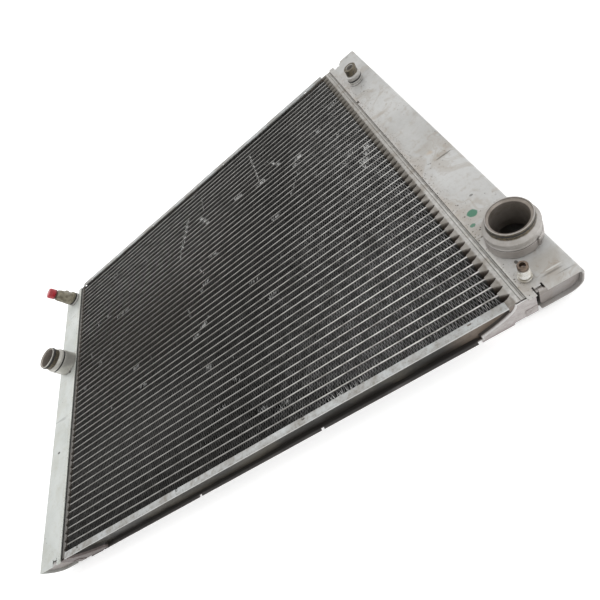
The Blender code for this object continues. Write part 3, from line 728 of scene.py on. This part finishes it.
def tube(centre, index):
    """One flat tube with rounded noses that wavers a little along its length, as vertices and faces."""
    half_turn = [math.pi * k / TUBE_NOSE_STEPS for k in range(TUBE_NOSE_STEPS + 1)]
    back, front = TUBE_DEPTH
    r = HALF_TUBE
    section = [(r * math.cos(a), front - r + r * math.sin(a)) for a in half_turn]
    section += [(-r * math.cos(a), back + r - r * math.sin(a)) for a in half_turn]
    x = np.linspace(*TUBE_ENDS, TUBE_STEPS + 1)
    side = smooth_noise(x, SEED + 500 + index, 0.12) * TUBE_WAVER
    lift = -np.abs(smooth_noise(x, SEED + 900 + index, 0.07)) * TUBE_WAVER
    fade = np.clip(np.minimum(x - TUBE_ENDS[0], TUBE_ENDS[1] - x) / 0.03, 0, 1)
    rings = [np.stack((x, np.full_like(x, centre + y) + side * fade, z + lift * fade * (z > back + r)), 1)
             for y, z in section]
    count, n = len(section), TUBE_STEPS + 1
    faces = []
    for a in range(count):
        b = (a + 1) % count
        faces += [(a * n + k, b * n + k, b * n + k + 1, a * n + k + 1) for k in range(TUBE_STEPS)]
    faces += [[a * n for a in reversed(range(count))], [a * n + TUBE_STEPS for a in range(count)]]
    return np.vstack(rings), faces


def joined(name, parts):
    """One mesh of several (vertices, faces), with how far each vertex is bent where that is given."""
    vertices, faces, bends = [], [], []
    for some, corners, *bent in parts:
        faces.extend(tuple(int(v) + len(vertices) for v in face) for face in corners)
        vertices.extend(map(tuple, some))
        bends.extend(bent)
    mesh = mesh_of(name, vertices, faces)
    if bends:
        mesh.attributes.new("bent", "FLOAT", "POINT").data.foreach_set("value", np.concatenate(bends))
    return mesh


def build_core():
    fin_finish, tube_finish = fin_aluminium(), tube_aluminium()
    clear = HALF_TUBE + 0.00008
    for i, bank in enumerate(BANKS):
        numbers = range(i * TUBES_PER_BANK, (i + 1) * TUBES_PER_BANK)
        strips = [fin_strip(k * TUBE_PITCH + clear, (k + 1) * TUBE_PITCH - clear, k) for k in numbers]
        tubes = [tube((k + 1) * TUBE_PITCH, k) for k in numbers]
        add_piece(f"fins_{i + 1:02d}", joined("fins", strips), fin_finish, [bank])
        add_piece(f"tubes_{i + 1:02d}", joined("tubes", tubes), tube_finish, [bank])
    last = len(BANKS) * TUBES_PER_BANK
    strip = fin_strip(last * TUBE_PITCH + clear, CORE_WIDTH - clear, last)
    add_piece("fins_far", joined("fins", [strip]), fin_finish, ["far_fin_strip"])


# ---------------------------------------------------------------- headers, tanks, caps and plates
def closed_slab(name, front, back):
    """A closed slab between two surfaces, each a grid of points of the same size."""
    nx, ny = front.shape[:2]
    vertices = np.vstack((front.reshape(-1, 3), back.reshape(-1, 3)))
    i, j = np.meshgrid(np.arange(nx - 1), np.arange(ny - 1), indexing="ij")
    a = (i * ny + j).ravel()
    top = np.stack((a, a + ny, a + ny + 1, a + 1), 1)
    low = nx * ny
    rim = [k * ny for k in range(nx)] + [(nx - 1) * ny + k for k in range(1, ny)]
    rim += [k * ny + ny - 1 for k in range(nx - 2, -1, -1)] + list(range(ny - 2, 0, -1))
    faces = [tuple(map(int, f)) for f in top] + [tuple(int(v) + low for v in reversed(f)) for f in top]
    faces += [(rim[k - 1], rim[k], rim[k] + low, rim[k - 1] + low)[::-1] for k in range(len(rim))]
    return faced_outward(mesh_of(name, vertices, faces))


def smooth_step(value):
    t = np.clip(value, 0.0, 1.0)
    return t * t * (3 - 2 * t)


def header_surface(xs, ys, mirror):
    """The comb's front and back heights. Distances are from the seam, as on the right-hand header."""
    reach = xs if mirror else CORE_LENGTH - xs
    tip, root, back = LEFT_COMB if mirror else RIGHT_COMB
    gx, gy = np.meshgrid(reach, ys, indexing="ij")
    nearest = np.clip(np.round(gy / TUBE_PITCH), 0, round(CORE_WIDTH / TUBE_PITCH)) * TUBE_PITCH
    away = np.abs(gy - nearest)
    away[(gy < 0) | (gy > CORE_WIDTH)] = 0.0
    along = np.clip((gx - root) / (tip - root), 0.0, 1.0)
    half = (TUBE_PITCH / 2) * (1 - along) ** 1.5 + (HALF_TUBE + 0.0006) * (1 - (1 - along) ** 1.5)
    pocket = smooth_step((away - half) / 0.0013) * (along > 0.01)
    ridge = np.exp(-(away / 0.0009) ** 2) * 0.00025 * (along > 0.01)
    lean = smooth_step((away - HALF_TUBE) / 0.0030) * 0.0010 * along
    grooves = sum(np.exp(-((gx - place) / 0.00028) ** 2) for place in GROOVES)
    rough = 0.00012 * np.sin(gy * 810 + gx * 900) * np.sin(gy * 2330 + 1.3) * (along > 0.01)
    front = RIM_TOP + ridge - lean - 0.0006 * grooves * (gx < root) + rough - pocket * POCKET_DEPTH
    front = np.where(gx < -0.0008, np.minimum(front, RIM_UNDER_SHEET), front)
    under = HEADER_BACK + pocket * POCKET_DEPTH
    under = np.where(gx < back - 0.0001, RIM_UNDER, under)
    return front, under


def build_headers():
    for side, mirror in (("left", True), ("right", False)):
        node = f"{side}_header"
        low, high = local_box(node)
        tip, root = (LEFT_COMB if mirror else RIGHT_COMB)[:2]
        fold = [tip - (tip - root) * k / FOLD_STEPS for k in range(FOLD_STEPS + 1)]
        rim = [root - 0.0008, root - 0.0016]
        for place in GROOVES:
            rim += [place + step * 0.00025 for step in (2, 1, 0, -1, -2)]
        stations = {round(v, 6) for v in fold + rim if v > -0.0010}
        stations |= {0.0035, 0.0034, -0.0010, -0.0044}
        xs = np.array(sorted(v if mirror else CORE_LENGTH - v for v in stations))
        steps = np.array((0.0, 0.09, 0.14, 0.19, 0.24, 0.30, 0.37, 0.44, 0.5))
        steps = np.concatenate((steps, 1.0 - steps[-2:0:-1]))
        pitches = round(CORE_WIDTH / TUBE_PITCH)
        ys = [low.y, *(TUBE_PITCH * (k + t) for k in range(pitches) for t in steps), CORE_WIDTH, high.y]
        front, back = header_surface(xs, np.array(ys), mirror)
        gx, gy = np.meshgrid(xs, ys, indexing="ij")
        mesh = closed_slab(node, np.stack((gx, gy, front), 2), np.stack((gx, gy, back), 2))
        add_piece(f"{node}_comb", mesh, header_aluminium(f"{side}_header_metal", mirror),
                  [node], sharp=60)


def dented(work, low, high, seed, depth):
    """Presses the wide faces in by a little, in long soft dents, and leaves the edges where they are."""
    for v in work.verts:
        x, y, z = v.co
        inner = min(x - low.x, high.x - x, 0.012) / 0.012 * min(y - low.y, high.y - y, 0.020) / 0.020
        wave = math.sin(x * 91 + seed) * math.sin(y * 37 + seed * 2.1)
        wave += 0.6 * math.sin(y * 83 + x * 40 + seed)
        if z > -0.0008:
            v.co.z -= depth * max(inner, 0.0) * (0.5 + 0.5 * wave)


def build_tanks(finishes):
    for side in ("left", "right"):
        node = f"{side}_tank"
        low, high = local_box(node)
        work = cleaned(node)
        round_edges(work, 0.00030, 2)
        slice_along(work, 1, np.arange(low.y + 0.007, high.y, 0.0085))
        slice_along(work, 0, np.arange(low.x + 0.005, high.x, 0.0068))
        dented(work, low, high, 1.3 if side == "left" else 4.1, TANK_DENTS)
        add_piece(f"{node}_shell", to_mesh(node, work), finishes[side], [node])


def web_surface(xs, shares, drop, far):
    """A side plate's web: flat along the core, with an S-shaped rise at each end out to a flush ear."""
    gx, share = np.meshgrid(xs, shares, indexing="ij")
    reach = np.minimum(gx, CORE_LENGTH - gx)
    ear = smooth_step((0.0138 - reach) / 0.0014)
    top = -0.0008 - (drop - 0.0008) * ear
    low = -0.0362 + 0.0022 * ear
    z = low + (top - low) * share
    bend = 0.010 + 0.034 * np.clip(-z / 0.029, 0, 1) ** 2.6
    rise = smooth_step((bend - reach) / 0.0030)
    dents = 0.00035 * np.sin(gx * 47 + 1) * np.sin(gx * 19 + z * 120) * (1 - rise)
    out = WEB_OUT + (EAR_OUT - WEB_OUT) * rise + dents
    return [np.stack((gx, CORE_WIDTH + o if far else -o, z), 2) for o in (out, out - WEB_THICK)]


def flange_mesh(name, ends, outward, z0, z1, notch_outs, far):
    """A side plate's flange with its notches, rounded edges and slices that let it waver."""
    def place(x, out, z):
        return (x, CORE_WIDTH + out if far else -out, z)

    def block(*corners):
        work = bmesh.new()
        for corner, opposite in corners:
            add_box(work, corner, opposite)
        mesh = bpy.data.meshes.new(name)
        work.to_mesh(mesh)
        work.free()
        return mesh

    made = new_object(name, block((place(ends[0], outward[0], z0), place(ends[1], outward[1], z1))))
    cutter = new_object(name, block(*((place(x - NOTCH_HALF, notch_outs[0], z0 - 0.001),
                                         place(x + NOTCH_HALF, notch_outs[1], z1 + 0.001))
                                        for x in NOTCHES)))
    mesh = cut_out(made, cutter)
    work = bmesh.new()
    work.from_mesh(mesh)
    round_edges(work, 0.00022, 2)
    slice_along(work, 0, np.arange(ends[0] + 0.006, ends[1], 0.012))
    for v in work.verts:
        away = min(v.co.x - ends[0], ends[1] - v.co.x) / 0.03
        wave = 0.00022 * math.sin(v.co.x * 61 + z0 * 900) * math.sin(v.co.x * 23)
        v.co.z += wave * min(1.0, max(0.0, away))
    return work


def build_plate(node, finish, far):
    low, high = local_box(node)
    right_end = CORE_LENGTH - PLATE_END
    xs = np.concatenate((np.arange(low.x, PLATE_END, PLATE_FINE),
                         np.arange(PLATE_END, right_end, PLATE_COARSE),
                         np.arange(high.x, right_end, -PLATE_FINE)[::-1]))
    front, back = web_surface(xs, np.linspace(0, 1, 44), FAR_DROP if far else NEAR_DROP, far)
    mesh = closed_slab(node, front, back)
    ends = (0.0075, CORE_LENGTH - 0.0138)
    outward = (WEB_OUT - WEB_THICK, FLANGE)
    for z0, z1, notch in FLANGES:
        mesh = merged(node, mesh, flange_mesh(node, ends, outward, z0, z1, notch, far))
    for middle_x in (CORE_LENGTH + 0.0025, -0.0025):
        y = CORE_WIDTH + EAR_OUT if far else -EAR_OUT
        tab = box_shell(((-0.0052, -0.0008, -0.0330), (0.0052, 0.0008, -0.0215)),
                        Matrix.Translation((middle_x, y, 0.0)))
        mesh = merged(node, mesh, tab)
    add_piece(f"{node}_channel", mesh, finish, [node], sharp=50)


def plate_aluminium(name, far):
    """The channels: pale flanges, an olive and black web, pinkish grey ears."""
    s = Shader(name, 0.20, 0.30)
    out = s.minus(s.y, CORE_WIDTH) if far else s.times(s.y, -1.0)
    clouds = s.noise(30.0, 4.0, 0.6)
    fine = s.noise(230.0, 5.0, 0.7)
    pale = s.mix(s.level(clouds, 0.36, 0.66), (0.40, 0.415, 0.415), (0.27, 0.265, 0.25))
    pale = s.mix(s.times(s.level(fine, 0.44, 0.68), 0.55), pale, (0.15, 0.125, 0.095))
    brim = s.level(out, FLANGE - 0.0008, FLANGE - 0.0003)
    pale = s.mix(s.times(brim, 0.5), pale, (0.60, 0.60, 0.59))
    web = s.mix(s.level(s.noise(14.0, 4.0, 0.6), 0.42, 0.58), (0.052, 0.046, 0.034), (0.016, 0.014, 0.011))
    brown = s.level(s.plus(s.x, s.blend(clouds, -0.02, 0.02)), 0.520, 0.565)
    web = s.mix(brown, web, (0.150, 0.118, 0.092))
    web = s.mix(s.times(s.level(fine, 0.50, 0.70), 0.5), web, (0.012, 0.010, 0.008))
    ear = s.mix(s.level(fine, 0.36, 0.68), (0.37, 0.34, 0.33), (0.26, 0.23, 0.22))
    left = s.level(s.plus(s.x, s.blend(clouds, -0.01, 0.01)), 0.090, 0.045)
    ear = s.mix(s.times(left, 0.85), ear, (0.075, 0.055, 0.050))
    deep = s.level(s.z, -0.0014, -0.0024)
    flush = s.level(out, 0.0030, 0.0040)
    # painted shadow: a dark band on the web just inside its rise to the ears
    shade = s.times(s.level(out, 0.0006, 0.0012), s.level(out, 0.0040, 0.0030))
    web = s.mix(s.times(shade, 0.9), web, (0.018, 0.014, 0.012))
    # partly wear, partly a painted highlight: a bright rim along the ears
    wear_and_highlight = s.times(s.level(out, 0.0038, 0.0048), s.level(out, 0.0062, 0.0057))
    wear_and_highlight = s.times(wear_and_highlight, s.level(s.x, 0.090, 0.300))
    ear = s.mix(s.times(wear_and_highlight, 0.85), ear, (0.74, 0.73, 0.72))
    s.paint = s.mix(deep, pale, s.mix(flush, web, ear))
    # partly dirt, partly painted shadow: the inner corner at the rear flange is painted nearly black,
    # except near the right end
    corner_shadow_and_dirt = s.times(s.level(s.z, -0.0350, -0.0357), s.level(s.z, -0.0364, -0.0359))
    corner_shadow_and_dirt = s.times(corner_shadow_and_dirt, s.level(s.x, CORE_LENGTH - 0.043, CORE_LENGTH - 0.049))
    s.coat(corner_shadow_and_dirt, (0.020, 0.018, 0.016), 0.92)
    rough = s.blend(s.level(clouds, 0.3, 0.7), 0.38, 0.60)
    return s.finish(rough, fine, 0.0002, 0.4)


def build_simple(nodes, material, width=0.0003, segments=2):
    for node in nodes:
        work = cleaned(node)
        round_edges(work, width, segments)
        add_piece(f"{node}_part", to_mesh(node, work), material, [node])


# ---------------------------------------------------------------- fittings
def ring(low, high, inner, outer, edge=0.0007, flare=0.0):
    """A ring's profile, down its outer side. flare spreads its foot like a braze fillet."""
    profile = [(inner, high), (outer - 0.2 * edge, high), (outer, high - edge)]
    if flare:
        profile += [(outer, low + 2 * flare), (outer + 0.4 * flare, low + 0.7 * flare),
                    (outer + flare, low + 0.2 * flare)]
    return profile + [(outer + flare, low), (inner, low)]


def box_shell(corners, turn):
    """A box with rounded edges, for lugs."""
    work = bmesh.new()
    add_box(work, *corners)
    bmesh.ops.bevel(work, geom=list(work.edges), offset=0.0004, segments=3, profile=0.5, affect="EDGES")
    bmesh.ops.transform(work, verts=work.verts, matrix=turn)
    return work


def merged(name, mesh, extra):
    """A mesh with another bmesh added to it."""
    work = bmesh.new()
    work.from_mesh(mesh)
    temporary = bpy.data.meshes.new("extra")
    extra.to_mesh(temporary)
    extra.free()
    work.from_mesh(temporary)
    bpy.data.meshes.remove(temporary)
    made = bpy.data.meshes.new(name)
    work.to_mesh(made)
    work.free()
    return made


def bead(phase, size=0.00022):
    """Unevenness of a brazed foot."""
    def wobble(angle, r, z):
        if z > 0.0022:
            return 0.0
        lumps = math.sin(9 * angle + phase) + math.sin(17 * angle + 2 * phase) * 0.7
        return size * (0.6 * lumps + 0.4 * math.sin(31 * angle))
    return wobble


def neck_profile(sleeve, bore, step, collar, waist, groove, groove_r, lip, top):
    """A hose neck: sleeve, collar, taper, O-ring groove and a lip whose bore opens out."""
    return [
        (lip - 0.0010, top - 0.0003), (lip - 0.0008, top), (lip - 0.0004, top), (lip, top - 0.0006),
        (lip, groove[1]), (groove_r, groove[1]), (groove_r, groove[0]), (lip, groove[0]),
        (lip, waist + 0.0006), (collar, waist - 0.0030), (collar, step + 0.0030),
        (collar - 0.0005, step + 0.0027), (collar - 0.0005, step + 0.0020), (collar, step + 0.0017),
        (collar, step), (sleeve, step), (sleeve, -0.0040), (bore, -0.0040), (bore, groove[1] + 0.0004),
        (lip - 0.0010, top - 0.0012),
    ]


def add_seal(piece, node, finish, body="root", wobble=0.00006):
    """An O-ring or gasket drawn from its node's box, with a round section."""
    low, high = local_box(node)
    centre = (low + high) / 2
    minor = (high.z - low.z) / 2
    outer = (high.x - low.x) / 2
    major = outer - minor
    section = [(major + minor * math.cos(a), centre.z + minor * math.sin(a))
               for a in (-2 * math.pi * k / SEAL_ROUND for k in range(SEAL_ROUND))]
    mesh = lathe("seal", section, centre, ROUND, True,
                 lambda a, r, z: -wobble * (0.5 + 0.5 * math.sin(5 * a + r * 9000)))
    add_piece(piece, mesh, finish, [node], body)


def add_port_base(side, ring_top, outer, phase, azimuth, lugs, metal):
    """The brazed ring under a neck. Its lugs stand at an azimuth in degrees, and each is given by how far
    it starts from the ring's outside, its half width and its two heights."""
    centre = middle(f"{side}_port_neck")
    low = local_box(f"{side}_port_base")[0].z
    profile = rounded(ring(low, ring_top, PORT_HOLE, outer, 0.0008), 0.0005)
    mesh = lathe("base", profile, centre, ROUND, True, bead(phase))
    turn = Matrix.Translation((centre.x, centre.y, 0)) @ Matrix.Rotation(math.radians(azimuth), 4, "Z")
    for start, half, z0, z1 in lugs:
        lug = box_shell(((outer + start, -half, z0), (outer + LUG_REACH, half, z1)), turn)
        mesh = merged("base", mesh, lug)
    add_piece(f"{side}_base_ring", mesh, metal[side], [f"{side}_port_base"])


def add_neck(side, shape, metal, rubber):
    """A hose neck and its O-ring. shape is what neck_profile takes after the sleeve and the bore."""
    profile = rounded(neck_profile(NECK_SLEEVE, NECK_BORE, *shape), 0.0005)
    mesh = lathe("neck", profile, middle(f"{side}_port_neck"))
    add_piece(f"{side}_hose_neck", mesh, metal[side], [f"{side}_port_neck"])
    add_seal(f"{side}_seal", f"{side}_port_o_ring", rubber)


def build_ports(metal, rubber):
    ring_top = 0.0112
    post_top = local_box("right_port_base")[1].z
    lugs = ((-0.0005, 0.0015, 0.0030, ring_top - 0.0010), (0.0002, 0.0014, 0.0032, post_top))
    add_port_base("right", ring_top, 0.0222, 0.4, -65, lugs, metal)
    shape = (ring_top + 0.0003, 0.0219, 0.0235, (0.0265, 0.0287), 0.0166, RIGHT_LIP, 0.0315)
    add_neck("right", shape, metal, rubber)
    low, high = local_box("left_port_gasket")
    add_port_base("left", low.z - 0.0003, 0.0200, 2.0, -60, ((-0.0005, 0.0015, 0.0010, 0.0046),), metal)
    profile = rounded(ring(low.z, high.z, PORT_HOLE, 0.0192, 0.0005), 0.0004)
    mesh = lathe("gasket", profile, middle("left_port_neck"))
    add_piece("left_gasket", mesh, rubber, ["left_port_gasket"])
    shape = (high.z + 0.0003, 0.0196, 0.0255, (0.0318, 0.0350), 0.0158, LEFT_LIP, 0.0370)
    add_neck("left", shape, metal, rubber)


def build_spigot(metal, rubber):
    centre = middle("spigot")
    base_low, base_high = local_box("spigot_base")
    profile = rounded(ring(base_low.z, base_high.z, 0.0060, 0.0102, 0.0008), 0.0004)
    mesh = lathe("base", profile, centre, SMALL_ROUND, True, bead(1.1, 0.00012))
    add_piece("spigot_foot", mesh, metal["spigot"], ["spigot_base"])
    bore, tip, collar, groove, hole = 0.0046, 0.0082, 0.0096, 0.0083, 0.0057
    profile = [
        (bore, 0.0221), (bore + 0.0004, 0.0225), (tip - 0.0004, 0.0225), (tip, 0.0221), (tip, 0.0198),
        (tip - 0.0002, 0.0195), (tip - 0.0002, 0.0150), (tip, 0.0147), (tip, 0.0128), (collar, 0.0116),
        (collar, 0.0073), (groove, 0.0073), (groove, 0.0051), (collar, 0.0051), (collar, 0.0023),
        (hole, 0.0023), (hole, -0.0040), (bore, -0.0040),
    ]
    mesh = lathe("spigot", rounded(profile, 0.0004), centre, SMALL_ROUND)
    add_piece("spigot_pipe", mesh, metal["spigot"], ["spigot"])
    add_seal("spigot_seal", "spigot_o_ring", rubber)


def solid_of(name, profile, radius=0.0):
    """A turned solid about the origin, from an open profile that ends on the axis."""
    points = rounded(profile, radius, 3, False) if radius else profile
    return lathe(name, points, (0, 0), SMALL_ROUND, False)


def build_stub(metal, cast, rubber, plastic):
    centre = middle("stub_base")
    centre.z = 0.0
    lean = Matrix.Rotation(STUB_TILT, 4, "Y")
    profile = rounded(ring(0.0003, 0.0030, 0.0080, 0.0135, 0.0008), 0.0005)
    mesh = lathe("base", profile, centre, SMALL_ROUND, True, bead(3.0, 0.00014))
    add_piece("stub_foot_ring", mesh, metal["spigot"], ["stub_base"])
    profile = rounded(ring(0.0033, 0.0050, 0.0080, 0.0128, 0.0005), 0.0004)
    add_piece("stub_seal", lathe("gasket", profile, centre, SMALL_ROUND), rubber,
              ["stub_gasket"])
    body = [
        (0.0, 0.0425), (0.0069, 0.0425), (0.0073, 0.0421), (0.0073, 0.0330), (0.0098, 0.0316),
        (0.0108, 0.0270), (0.0112, 0.0180), (0.0122, 0.0110), (0.0122, 0.0080), (0.0, 0.0080),
    ]
    tall = solid_of("body", body, 0.0008)
    tall.transform(lean)
    foot = solid_of("foot", [(0.0, 0.0098), (0.0129, 0.0098), (0.0129, 0.0053), (0.0, 0.0053)], 0.0008)
    sleeve = solid_of("sleeve", [(0.0, 0.0070), (0.0076, 0.0070), (0.0076, -0.0038), (0.0, -0.0038)])
    boss = solid_of("boss", [(0.0, 0.0158), (0.0039, 0.0158), (0.0039, 0.0080), (0.0, 0.0080)], 0.0008)
    boss.transform(lean @ Matrix.Translation((0, 0, 0.0150)) @ Matrix.Rotation(-math.pi / 2, 4, "X"))
    work = bmesh.new()
    for some in (tall, foot, sleeve, boss):
        work.from_mesh(some)
    blank = bpy.data.meshes.new("stub_blank")
    work.to_mesh(blank)
    work.free()
    rough_cast = new_object("stub_blank", blank)
    remesh = rough_cast.modifiers.new("remesh", "REMESH")
    remesh.mode = "VOXEL"
    remesh.voxel_size = 0.00045
    soften = rough_cast.modifiers.new("soften", "SMOOTH")
    soften.factor = 0.5
    soften.iterations = 4
    solid = applied(rough_cast)
    bore = solid_of("bore", [(0.0, 0.0500), (0.0055, 0.0500), (0.0055, 0.0120), (0.0, 0.0120)])
    bore.transform(lean)
    drill = new_object("stub_bore", bore)
    drilled = new_object("stub_drilled", solid)
    mesh = cut_out(drilled, drill)
    mesh.transform(Matrix.Translation(centre))
    add_piece("stub_casting", mesh, cast, ["stub_fitting"], sharp=50)
    cap = [
        (0.0, 0.0460), (0.0070, 0.0460), (0.0083, 0.0457), (0.0094, 0.0446), (0.0096, 0.0400),
        (0.0096, 0.0362), (0.0091, 0.0359), (0.0091, 0.0354), (0.0096, 0.0351), (0.0096, 0.0340),
        (0.0077, 0.0340), (0.0077, 0.0431), (0.0, 0.0431),
    ]
    mesh = solid_of("cap", cap, 0.0005)
    made = add_piece("red_cap", mesh, plastic, ["transport_cap"], "stub_cap")
    made.matrix_world = Matrix.Translation(ORIGIN + centre) @ lean
    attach(made, "stub_cap")


def build_vent(steel, rubber):
    centre = middle("vent_screw")
    boss_low, boss_high = local_box("vent_boss")
    profile = rounded(ring(boss_low.z, boss_high.z, 0.0038, 0.0056, 0.0008), 0.0004)
    mesh = lathe("boss", profile, centre, SMALL_ROUND, True, bead(0.9, 0.0001))
    add_piece("vent_seat", mesh, steel, ["vent_boss"])
    pitch, crest, shank, head = 0.00125, 0.00028, 0.0035, 0.0041
    thread_low, thread_high = 0.0052, 0.0148
    steps = 76

    def body(z):
        return 0.0039 + 0.0011 * (thread_high - z) / (thread_high - thread_low)

    profile = [(0.0023, 0.0205), (0.0024, 0.0213), (0.0028, 0.0215), (0.0037, 0.0215), (0.0041, 0.0210),
               (head, 0.0163), (0.0039, 0.0159), (shank, 0.0154)]
    heights = [thread_high + (thread_low - thread_high) * k / steps for k in range(steps + 1)]
    profile += [(body(z), z) for z in heights]
    profile += [(shank, 0.0042), (shank, -0.0010), (0.0024, -0.0010), (0.0024, -0.0028), (shank, -0.0028),
                (shank, -0.0040), (0.0021, -0.0055), (0.0005, -0.0055), (0.0005, 0.0160), (0.0020, 0.0165)]

    def thread(angle, r, z):
        if not thread_low <= z <= thread_high or r < shank + 0.0002:
            return 0.0
        fade = min(1.0, (z - thread_low) / pitch, (thread_high - z) / pitch)
        return fade * crest * math.cos(2 * math.pi * z / pitch - angle)

    mesh = lathe("screw", profile, centre, SMALL_ROUND, True, thread)
    add_piece("bleed_screw", mesh, steel, ["vent_screw"], "vent_screw_body", sharp=50)
    add_seal("bleed_seal", "vent_seal", rubber, "vent_seal_carrier", 0.0)


# ---------------------------------------------------------------- stage
def build_stage():
    corners = [(x * FLOOR_HALF, y * FLOOR_HALF, 0) for x, y in ((-1, -1), (1, -1), (1, 1), (-1, 1))]
    floor = new_object("floor", mesh_of("floor", corners, [(0, 1, 2, 3)]))
    s = Shader("floor_paint", 0.0, 0.9)
    s.paint = s.mix(s.level(s.noise(3.0, 2.0), 0.3, 0.7), (0.93, 0.93, 0.93), (0.96, 0.96, 0.96))
    s.bsdf.inputs["Emission Color"].default_value = (1.0, 1.0, 1.0, 1.0)
    s.bsdf.inputs["Emission Strength"].default_value = FLOOR_GLOW
    floor.data.materials.append(s.finish())
    floor.location = (0, 0, -FLOOR_GAP)


def add_area(name, place, target, size, energy):
    data = bpy.data.lights.new(name, "AREA")
    data.shape = "DISK"
    data.size = size
    data.energy = energy
    lamp = new_object(name, data)
    lamp.location = place
    lamp.rotation_euler = (Vector(target) - Vector(place)).to_track_quat("-Z", "Y").to_euler()


def build_light():
    world = bpy.data.worlds.new("studio")
    world.use_nodes = True
    sky = world.node_tree.nodes["Background"]
    sky.inputs["Color"].default_value = (1.0, 1.0, 1.0, 1.0)
    sky.inputs["Strength"].default_value = 1.0
    bpy.context.scene.world = world
    add_area("key", (-0.8, 0.9, 1.7), (0, 0, 0), 1.6, KEY_POWER)
    add_area("fill", (1.3, -0.9, 1.3), (0, 0, 0), 1.8, FILL_POWER)
    settings = bpy.context.scene.view_settings
    settings.view_transform = "Standard"
    settings.look = "None"


def add_camera():
    data = bpy.data.cameras.new("camera")
    data.lens = LENS
    data.sensor_width = SENSOR
    data.clip_start = 0.01
    camera = new_object("camera", data)
    back = VIEW_RIGHT.cross(VIEW_UP)
    turn = Matrix((VIEW_RIGHT, VIEW_UP, back)).transposed().to_4x4()
    camera.matrix_world = Matrix.Translation(ORIGIN + EYE) @ turn
    bpy.context.scene.camera = camera


GREEN = (0.02, 0.16, 0.09)
BLACK = (0.03, 0.025, 0.02)
BROWN = (0.24, 0.19, 0.13)
RIGHT_DABS = [
    ((0.6137, 0.0921, 0.0), (0.0052, 0.0048, 0.01), GREEN, 0.85),
    ((0.6070, 0.0800, 0.0), (0.0030, 0.0022, 0.01), GREEN, 0.75),
    ((0.6131, 0.0258, 0.0), (0.0016, 0.0022, 0.01), BLACK, 0.8),
    ((0.6238, 0.1104, 0.0), (0.0020, 0.0014, 0.01), BLACK, 0.6),
    ((0.6290, 0.1780, 0.0), (0.0120, 0.0070, 0.01), BROWN, 0.45),
    ((0.6310, 0.1750, 0.0), (0.0100, 0.0010, 0.01), BLACK, 0.6),
    ((0.6240, 0.2000, 0.0), (0.0140, 0.0120, 0.01), BROWN, 0.25),
    ((0.6230, 0.1900, 0.0), (0.0050, 0.0040, 0.01), (0.45, 0.33, 0.21), 0.35),
    ((0.6300, 0.0120, 0.0), (0.0200, 0.0160, 0.03), BROWN, 0.35),
    ((0.6280, 0.0030, 0.0), (0.0110, 0.0012, 0.01), BLACK, 0.45),
    ((0.6310, 0.0060, 0.0), (0.0080, 0.0008, 0.01), (0.60, 0.60, 0.58), 0.7),
    ((0.6350, -0.0010, 0.0), (0.0080, 0.0009, 0.01), BLACK, 0.4),
    ((0.6320, 0.4577, 0.0), (0.0040, 0.0030, 0.01), BLACK, 0.35),
]
LEFT_DABS = [
    ((-0.0150, 0.2757, 0.0), (0.0030, 0.0022, 0.01), BLACK, 0.8),
    ((-0.0251, 0.1407, 0.0), (0.0032, 0.0020, 0.01), BLACK, 0.85),
]


def main():
    add_camera()
    finishes = {
        "right": sheet_aluminium("right_tank_metal", (0.51, 0.51, 0.50), (0.42, 0.417, 0.405),
                                 (0.31, 0.265, 0.215), (0.05, 0.04, 0.03), RIGHT_DABS, 1.0,
                                 (CORE_LENGTH + 0.002, CORE_LENGTH + 0.014)),
        "left": sheet_aluminium("left_tank_metal", (0.56, 0.58, 0.56), (0.46, 0.48, 0.46),
                                (0.40, 0.39, 0.32), (0.05, 0.045, 0.04), LEFT_DABS, 0.6, (-0.001, -0.010)),
    }
    build_core()
    build_headers()
    build_tanks(finishes)
    caps = sheet_aluminium("end_cap_metal", (0.40, 0.385, 0.375), (0.32, 0.30, 0.29), (0.22, 0.17, 0.12),
                           (0.05, 0.04, 0.03))
    build_simple([f"{side}_tank_{end}_cap" for side in ("left", "right") for end in ("near", "far")],
                 caps)
    for node, far in (("near_side_plate", False), ("far_side_plate", True)):
        build_plate(node, plate_aluminium(f"{node}_metal", far), far)
    rubber, steel = seal_rubber(), plated_steel()
    right, left = middle("right_port_neck"), middle("left_port_neck")
    spigot = middle("spigot")
    metal = {
        "right": worn_metal("right_port_metal", (0.44, 0.42, 0.40), (0.34, 0.32, 0.295), (0.14, 0.11, 0.08),
                            inner=((right.x, right.y), RIGHT_LIP - LIP_WALL), grime_band=(0.0238, 0.0310),
                            dark_line=(0.0112, 0.0117)),
        "left": worn_metal("left_port_metal", (0.50, 0.49, 0.45), (0.38, 0.37, 0.34), (0.14, 0.12, 0.09),
                           inner=((left.x, left.y), LEFT_LIP - LIP_WALL), grime_band=(0.0262, 0.0330)),
        "spigot": worn_metal("spigot_metal", (0.52, 0.51, 0.49), (0.38, 0.37, 0.35), (0.14, 0.11, 0.08),
                             inner=((spigot.x, spigot.y), 0.0046), grime_band=(0.0138, 0.0260)),
    }
    build_ports(metal, rubber)
    build_spigot(metal, rubber)
    build_stub(metal, cast_aluminium(), rubber, red_plastic())
    build_vent(steel, rubber)
    build_stage()
    build_light()


main()
